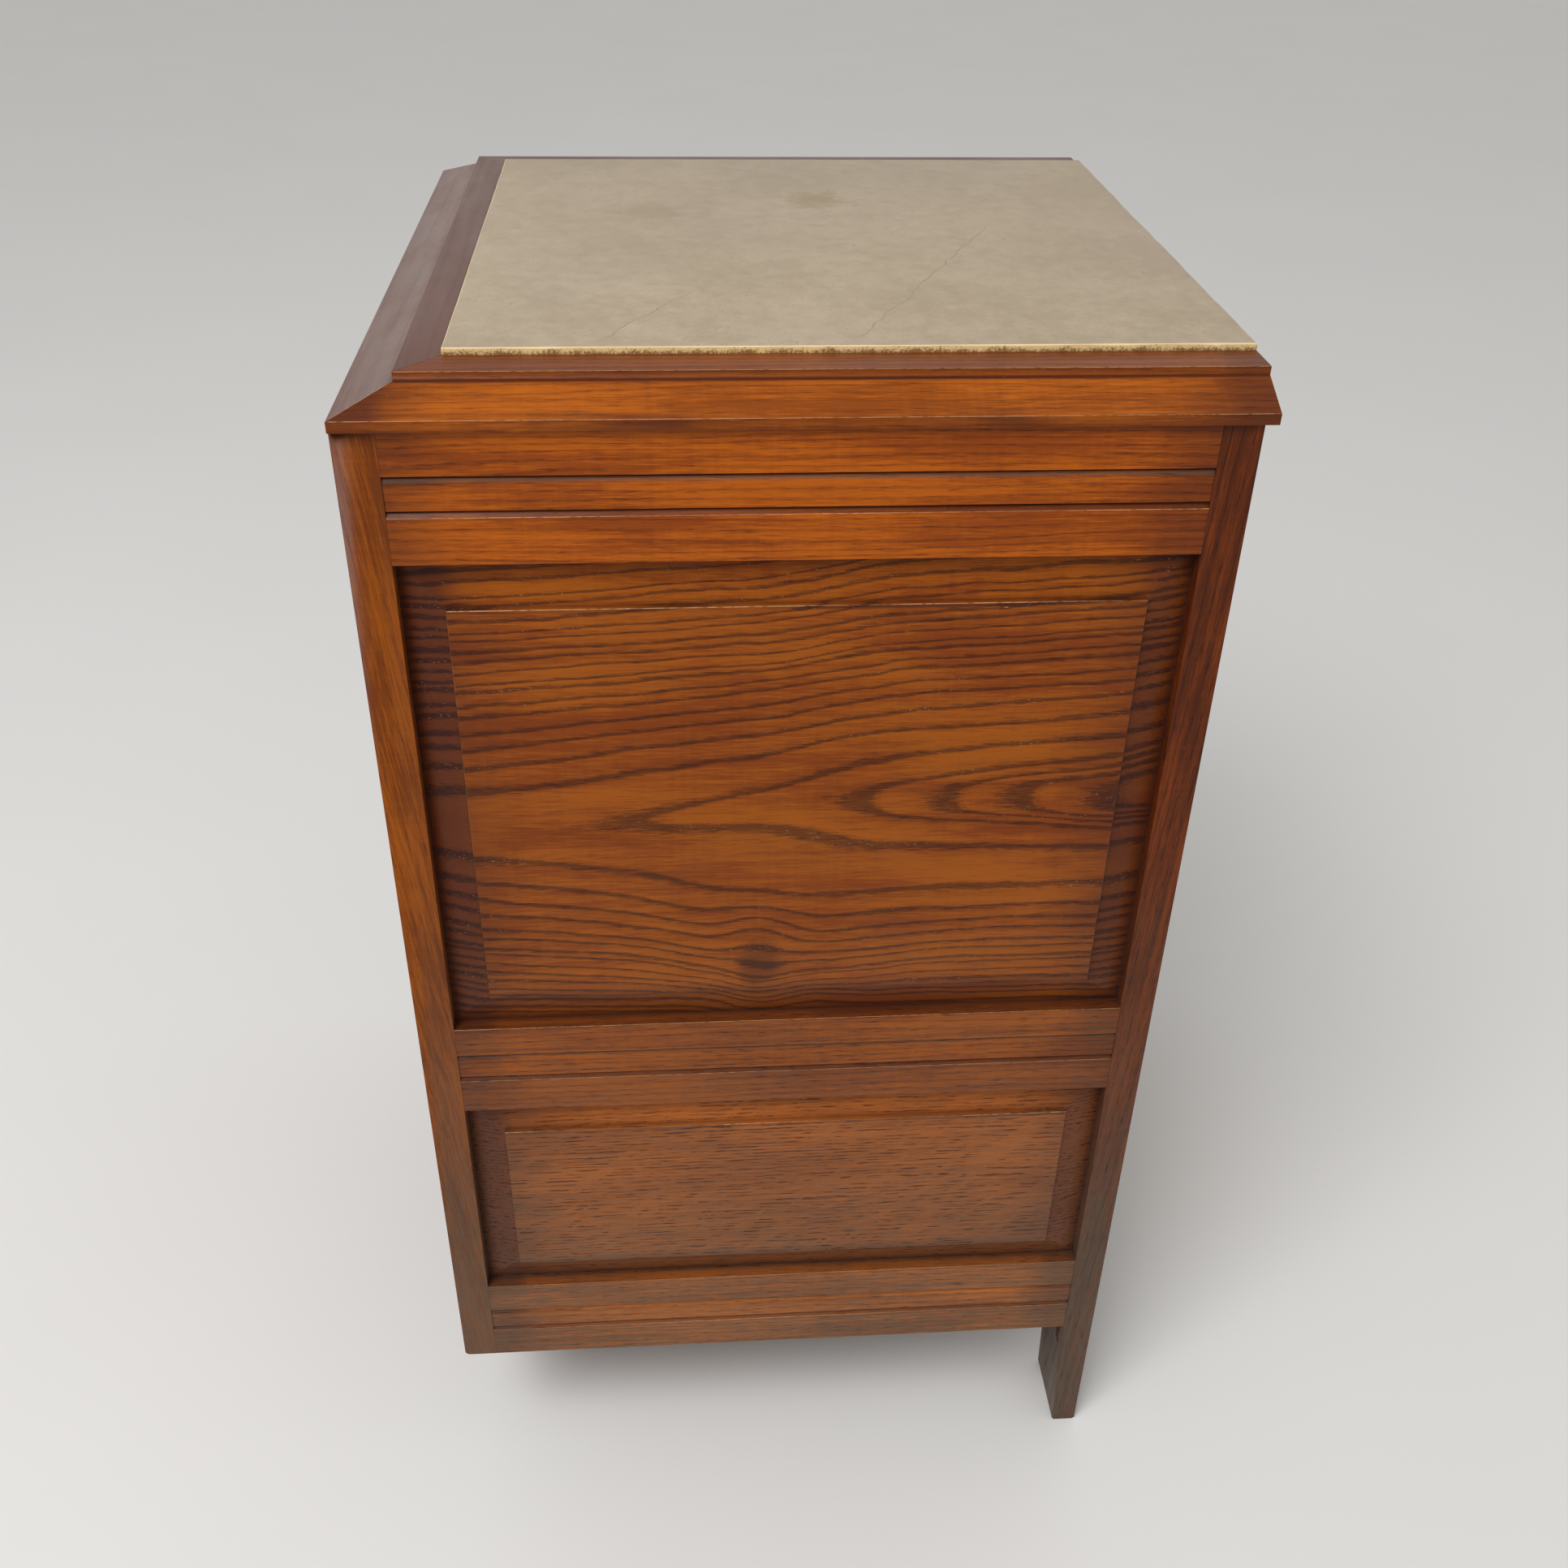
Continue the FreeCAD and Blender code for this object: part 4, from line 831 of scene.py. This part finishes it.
# A hairline crack: a wandering dark line of a given length from one point.
def hairline_crack_group():
    wanted = [("Place", "Vector", (0, 0, 0)), ("Start", "Vector", (0, 0, 0)), ("Run", "Vector", (1, 0, 0))]
    wanted += [("Width", "Float", 0.0006)]
    tree, given, result = open_group("hairline crack", wanted, [("Crack", "Float")])
    wander = {"Vector": given["Place"], "Scale": 60.0, "Detail": 6.0}
    shaken = put(tree, "ShaderNodeTexNoise", wander).outputs["Color"]
    shaken = vector_calc(tree, "SUBTRACT", shaken, (0.5, 0.5, 0.5))
    shaken = vector_calc(tree, "MULTIPLY", shaken, (0.010, 0.010, 0.010))
    offset = vector_calc(tree, "SUBTRACT", given["Place"], given["Start"])
    offset = vector_calc(tree, "ADD", offset, shaken)
    reach = vector_calc(tree, "LENGTH", given["Run"], result="Value")
    course = vector_calc(tree, "NORMALIZE", given["Run"])
    gone = vector_calc(tree, "DOT_PRODUCT", offset, course, result="Value")
    aside = vector_calc(tree, "CROSS_PRODUCT", offset, course)
    aside = calc(tree, "ABSOLUTE", split(tree, aside)[2])
    line = ramp(tree, aside, given["Width"], 0.0)
    begun = calc(tree, "GREATER_THAN", gone, 0.0)
    left = ramp(tree, calc(tree, "DIVIDE", gone, reach), 1.0, 0.7)
    tree.links.new(calc(tree, "MULTIPLY", line, calc(tree, "MULTIPLY", begun, left)), result["Crack"])
    return tree


hairline_crack = hairline_crack_group()


# Places on the slab are counted from its middle. A stain has a middle, a size and a strength, and a
# crack a start and an end.
slab_stains = (((-0.075, 0.0056), 0.048, 0.65), ((-0.052, -0.0894), 0.050, 0.35))
slab_cracks = (((0.165, 0.0026), (-0.042, 0.1001)), ((0.163, -0.1079), (0.084, -0.0614)))
stone_dark = colour(0.340, 0.264, 0.174)
stone_pale = colour(0.430, 0.348, 0.248)
speck_brown = colour(0.260, 0.185, 0.115)
thread_brown = colour(0.230, 0.160, 0.100)
stain_brown = colour(0.290, 0.205, 0.098)
crack_brown = colour(0.130, 0.085, 0.050)
worn_cream_glint = colour(0.760, 0.600, 0.340)
edge_cream = colour(0.720, 0.520, 0.240)
edge_brown = colour(0.240, 0.115, 0.035)


def honed_stone():
    """Beige stone with fine mottling, faint threads, stains, two hairline cracks and a cream, dirty edge.

    The rounded top edge is worn cream with a painted highlight.
    """
    made, tree, shader = open_material("honed stone")
    place = point_on(tree)
    clouds = even_noise(tree, place, 16.0, 3.0)
    mottle = even_noise(tree, place, 110.0, 9.0, roughness=0.75)
    specks = even_noise(tree, place, 900.0, 2.0)
    tone = calc(tree, "MULTIPLY_ADD", clouds, 0.35, calc(tree, "MULTIPLY", mottle, 0.65))
    body = tint(tree, ramp(tree, tone, 0.34, 0.66), stone_dark, stone_pale)
    body = tint(tree, ramp(tree, specks, 0.60, 0.72, 0.0, 0.3), body, speck_brown)
    bent = even_noise(tree, place, 55.0, 3.0, distortion=1.2)
    threads = ramp(tree, calc(tree, "ABSOLUTE", calc(tree, "SUBTRACT", bent, 0.5)), 0.010, 0.002)
    threads = calc(tree, "MULTIPLY", threads, ramp(tree, mottle, 0.5, 0.62, 0.0, 0.5))
    body = tint(tree, threads, body, thread_brown)
    for (x, y), size, share in slab_stains:
        middle = (slab_middle.x + x, slab_middle.y + y, slab_high.z)
        away = vector_calc(tree, "DISTANCE", place, middle, result="Value")
        ragged = calc(tree, "MULTIPLY_ADD", mottle, 0.05, away)
        body = tint(tree, ramp(tree, ragged, size, 0.6 * size, 0.0, share), body, stain_brown)
    cracked = 0.0
    for start, end in slab_cracks:
        inputs = {"Place": place, "Start": (slab_middle.x + start[0], slab_middle.y + start[1], 0.0)}
        inputs["Run"] = (end[0] - start[0], end[1] - start[1], 0.0)
        crack = put(tree, "ShaderNodeGroup", inputs, node_tree=hairline_crack).outputs["Crack"]
        cracked = calc(tree, "MAXIMUM", crack, cracked)
    broken = ramp(tree, mottle, 0.40, 0.56, 0.1, 0.5)
    body = tint(tree, calc(tree, "MULTIPLY", cracked, broken), body, crack_brown)
    upward = split(tree, facing(tree))[2]
    # The rounded top edge: worn cream with a painted highlight.
    body = tint(tree, ramp(tree, upward, 0.99, 0.85), body, worn_cream_glint)
    height = split(tree, place)[2]
    from_wood = calc(tree, "ABSOLUTE", calc(tree, "SUBTRACT", height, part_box("top_frame_right")[1].z))
    uneven = calc(tree, "MULTIPLY_ADD", specks, 0.4, calc(tree, "MULTIPLY", mottle, 0.6))
    dirt = calc(tree, "ADD", uneven, ramp(tree, from_wood, 0.0024, 0.0, 0.0, 0.16))
    side = tint(tree, ramp(tree, dirt, 0.50, 0.70), edge_cream, edge_brown)
    base = tint(tree, ramp(tree, upward, 0.6, 0.2), body, side)
    grit = calc(tree, "SUBTRACT", calc(tree, "MULTIPLY", mottle, 0.4), cracked)
    dress(tree, shader, base, ramp(tree, tone, 0.3, 0.7, 0.42, 0.60), grit, strength=0.3, distance=0.0004)
    return made


slab = bpy.data.objects.new("stone_slab", slab_mesh(slab_low, slab_high))
bpy.context.scene.collection.objects.link(slab)
slab.data.materials.append(honed_stone())
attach(slab, "carcass")
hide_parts("stone_top")

# Drawer
# A stained front with a raised field is joined to bare oak sides by lapped dovetails; the back and the
# thin bottom are bare oak too. The turned knob is held by a screw from inside.
front_low, front_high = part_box("drawer_front")


def drawer_front_rings(tree, board):
    """Long arches along the middle of the front; the knot lies far outside it."""
    middle = (front_low.z + front_high.z) / 2
    rings = outer_rings(-0.1, 12) + [(-0.03, 0.03), (0.08, 0.05), (0.15, 0.03), (0.21, 0.03), (0.28, 0.03)]
    return arched_rings(tree, board, axis=(middle - 0.006, middle + 0.004), rings=rings, taper=0.13,
                        knot_place=(0.05, front_low.z - 0.2), knot_size=0.015, sag=0.0)


drawer_front_oak = oak("varnished oak, drawer front", "X", panel_pale, panel_deep, drawer_front_rings,
                       line_share=band_share, line_depth=0.85, pore_depth=0.5)
turned_oak = oak("varnished oak, turned knobs", "X", rail_pale, rail_deep)
steel_grey = colour(0.360, 0.350, 0.340)
steel_brown = colour(0.170, 0.120, 0.085)


def dark_steel():
    """Plain screw steel, dulled and spotted."""
    made, tree, shader = open_material("dulled steel")
    spots = even_noise(tree, point_on(tree), 600.0, 3.0)
    base = tint(tree, ramp(tree, spots, 0.4, 0.7), steel_grey, steel_brown)
    dress(tree, shader, base, ramp(tree, spots, 0.3, 0.7, 0.3, 0.55), spots, strength=0.2, distance=0.0002)
    shader.inputs["Metallic"].default_value = 1.0
    return made


def refinish(node, material):
    """A built piece that keeps its shape and gets a better material."""
    mesh = frame["nodes"][node].data
    mesh.materials.clear()
    mesh.materials.append(material)


steel = dark_steel()
eased("drawer_front", drawer_front_oak)
for node in ("drawer_side_left", "drawer_side_right"):
    eased(node, deep_inside_oak)
for node in ("drawer_back", "drawer_bottom"):
    eased(node, cross_inside_oak)
refinish("drawer_knob", turned_oak)
refinish("drawer_knob_screw", steel)

# Door
# Stiles and rails frame two fielded panels that line up with those of the sides. The knob is like
# the drawer's.
door_upper_oak = oak("varnished oak, door upper panel", "X", panel_pale, panel_deep)
door_lower_oak = oak("varnished oak, door lower panel", "X", low_pale, low_deep, pore_share=0.9,
                     pore_depth=0.9)
for node in ("door_hinge_stile", "door_lock_stile"):
    eased(node, stile_oak)
for node in ("door_top_rail", "door_middle_rail", "door_bottom_rail"):
    eased(node, cross_rail_oak)
eased("door_upper_panel", door_upper_oak, arris=0.0004)
eased("door_lower_panel", door_lower_oak, arris=0.0004)
refinish("door_knob", turned_oak)
refinish("door_knob_screw", steel)

# Hinges and catch
# Two brass butt hinges on steel pins carry the door, let into its edge and the front stile. A steel
# spring clip screwed under the shelf grips a brass stud on the door.
brass_yellow = colour(0.560, 0.380, 0.130)
brass_brown = colour(0.200, 0.110, 0.035)
brass_bright = colour(0.720, 0.540, 0.240)


def tarnished_brass():
    """Brass gone brown, brighter where it is rubbed."""
    made, tree, shader = open_material("tarnished brass")
    cloud = even_noise(tree, point_on(tree), 180.0, 5.0)
    base = tint(tree, ramp(tree, cloud, 0.35, 0.68), brass_yellow, brass_brown)
    rim = {"Distance": 0.0008}
    solid = put(tree, "ShaderNodeAmbientOcclusion", rim, inside=True, only_local=True, samples=8)
    rubbed = ramp(tree, solid.outputs["AO"], 0.9, 0.55, 0.0, 0.7)
    base = tint(tree, rubbed, base, brass_bright)
    dress(tree, shader, base, ramp(tree, cloud, 0.3, 0.7, 0.28, 0.52), cloud, strength=0.15, distance=0.0002)
    shader.inputs["Metallic"].default_value = 1.0
    return made


brass = tarnished_brass()
for node in ("hinge_frame_leaves", "hinge_door_leaves", "hinge_frame_screws", "hinge_door_screws"):
    refinish(node, brass)
refinish("catch_stud", brass)
for node in ("hinge_pins", "catch_clip", "catch_clip_screw"):
    refinish(node, steel)

# Floor, light and camera
# A plain pale floor, soft light from above on the camera's side, and the photograph's viewpoint.
floor_half = 14.0
floor_mesh = bpy.data.meshes.new("floor")
floor_corners = [(x * floor_half, y * floor_half, 0) for x, y in ((-1, -1), (1, -1), (1, 1), (-1, 1))]
floor_mesh.from_pydata(floor_corners, [], [(0, 1, 2, 3)])
floor = bpy.data.objects.new("floor", floor_mesh)
bpy.context.scene.collection.objects.link(floor)
floor_finish, tree, shader = open_material("pale floor")
cast = even_noise(tree, point_on(tree), 3.0, 5.0)
floor_tint = tint(tree, cast, colour(0.76, 0.755, 0.745), colour(0.80, 0.795, 0.785))
tree.links.new(floor_tint, shader.inputs["Base Color"])
shader.inputs["Roughness"].default_value = 0.7
floor_mesh.materials.append(floor_finish)

world = bpy.data.worlds.new("soft room light")
world.use_nodes = True
room_light = world.node_tree.nodes["Background"].inputs
room_light["Color"].default_value = colour(1.0, 0.99, 0.97)
room_light["Strength"].default_value = 0.58
bpy.context.scene.world = world


def soft_lamp(name, place, aim, width, power):
    """A wide square lamp that points at a spot."""
    lamp = bpy.data.lights.new(name, "AREA")
    lamp.size = width
    lamp.energy = power
    holder = bpy.data.objects.new(name, lamp)
    holder.location = place
    holder.rotation_euler = (Vector(aim) - Vector(place)).to_track_quat("-Z", "Y").to_euler()
    bpy.context.scene.collection.objects.link(holder)


soft_lamp("lamp on the camera's side", place=(1.6, -1.1, 2.8), aim=(0.1, 0.0, 0.3), width=1.4, power=60)

camera_place = Vector((0.83165, -0.04467, 0.92055))
camera_aim = Vector((0.212, 0.00441, 0.50618))
camera_roll = radians(1.143)
camera = bpy.data.objects.new("camera", bpy.data.cameras.new("camera"))
camera.data.lens = 36.394
camera.data.sensor_width = 36.0
camera.rotation_mode = "QUATERNION"
level = (camera_aim - camera_place).to_track_quat("-Z", "Y")
camera.rotation_quaternion = level @ Quaternion((0, 0, 1), camera_roll)
camera.location = camera_place
bpy.context.scene.collection.objects.link(camera)
bpy.context.scene.camera = camera
bpy.context.scene.view_settings.view_transform = "Standard"
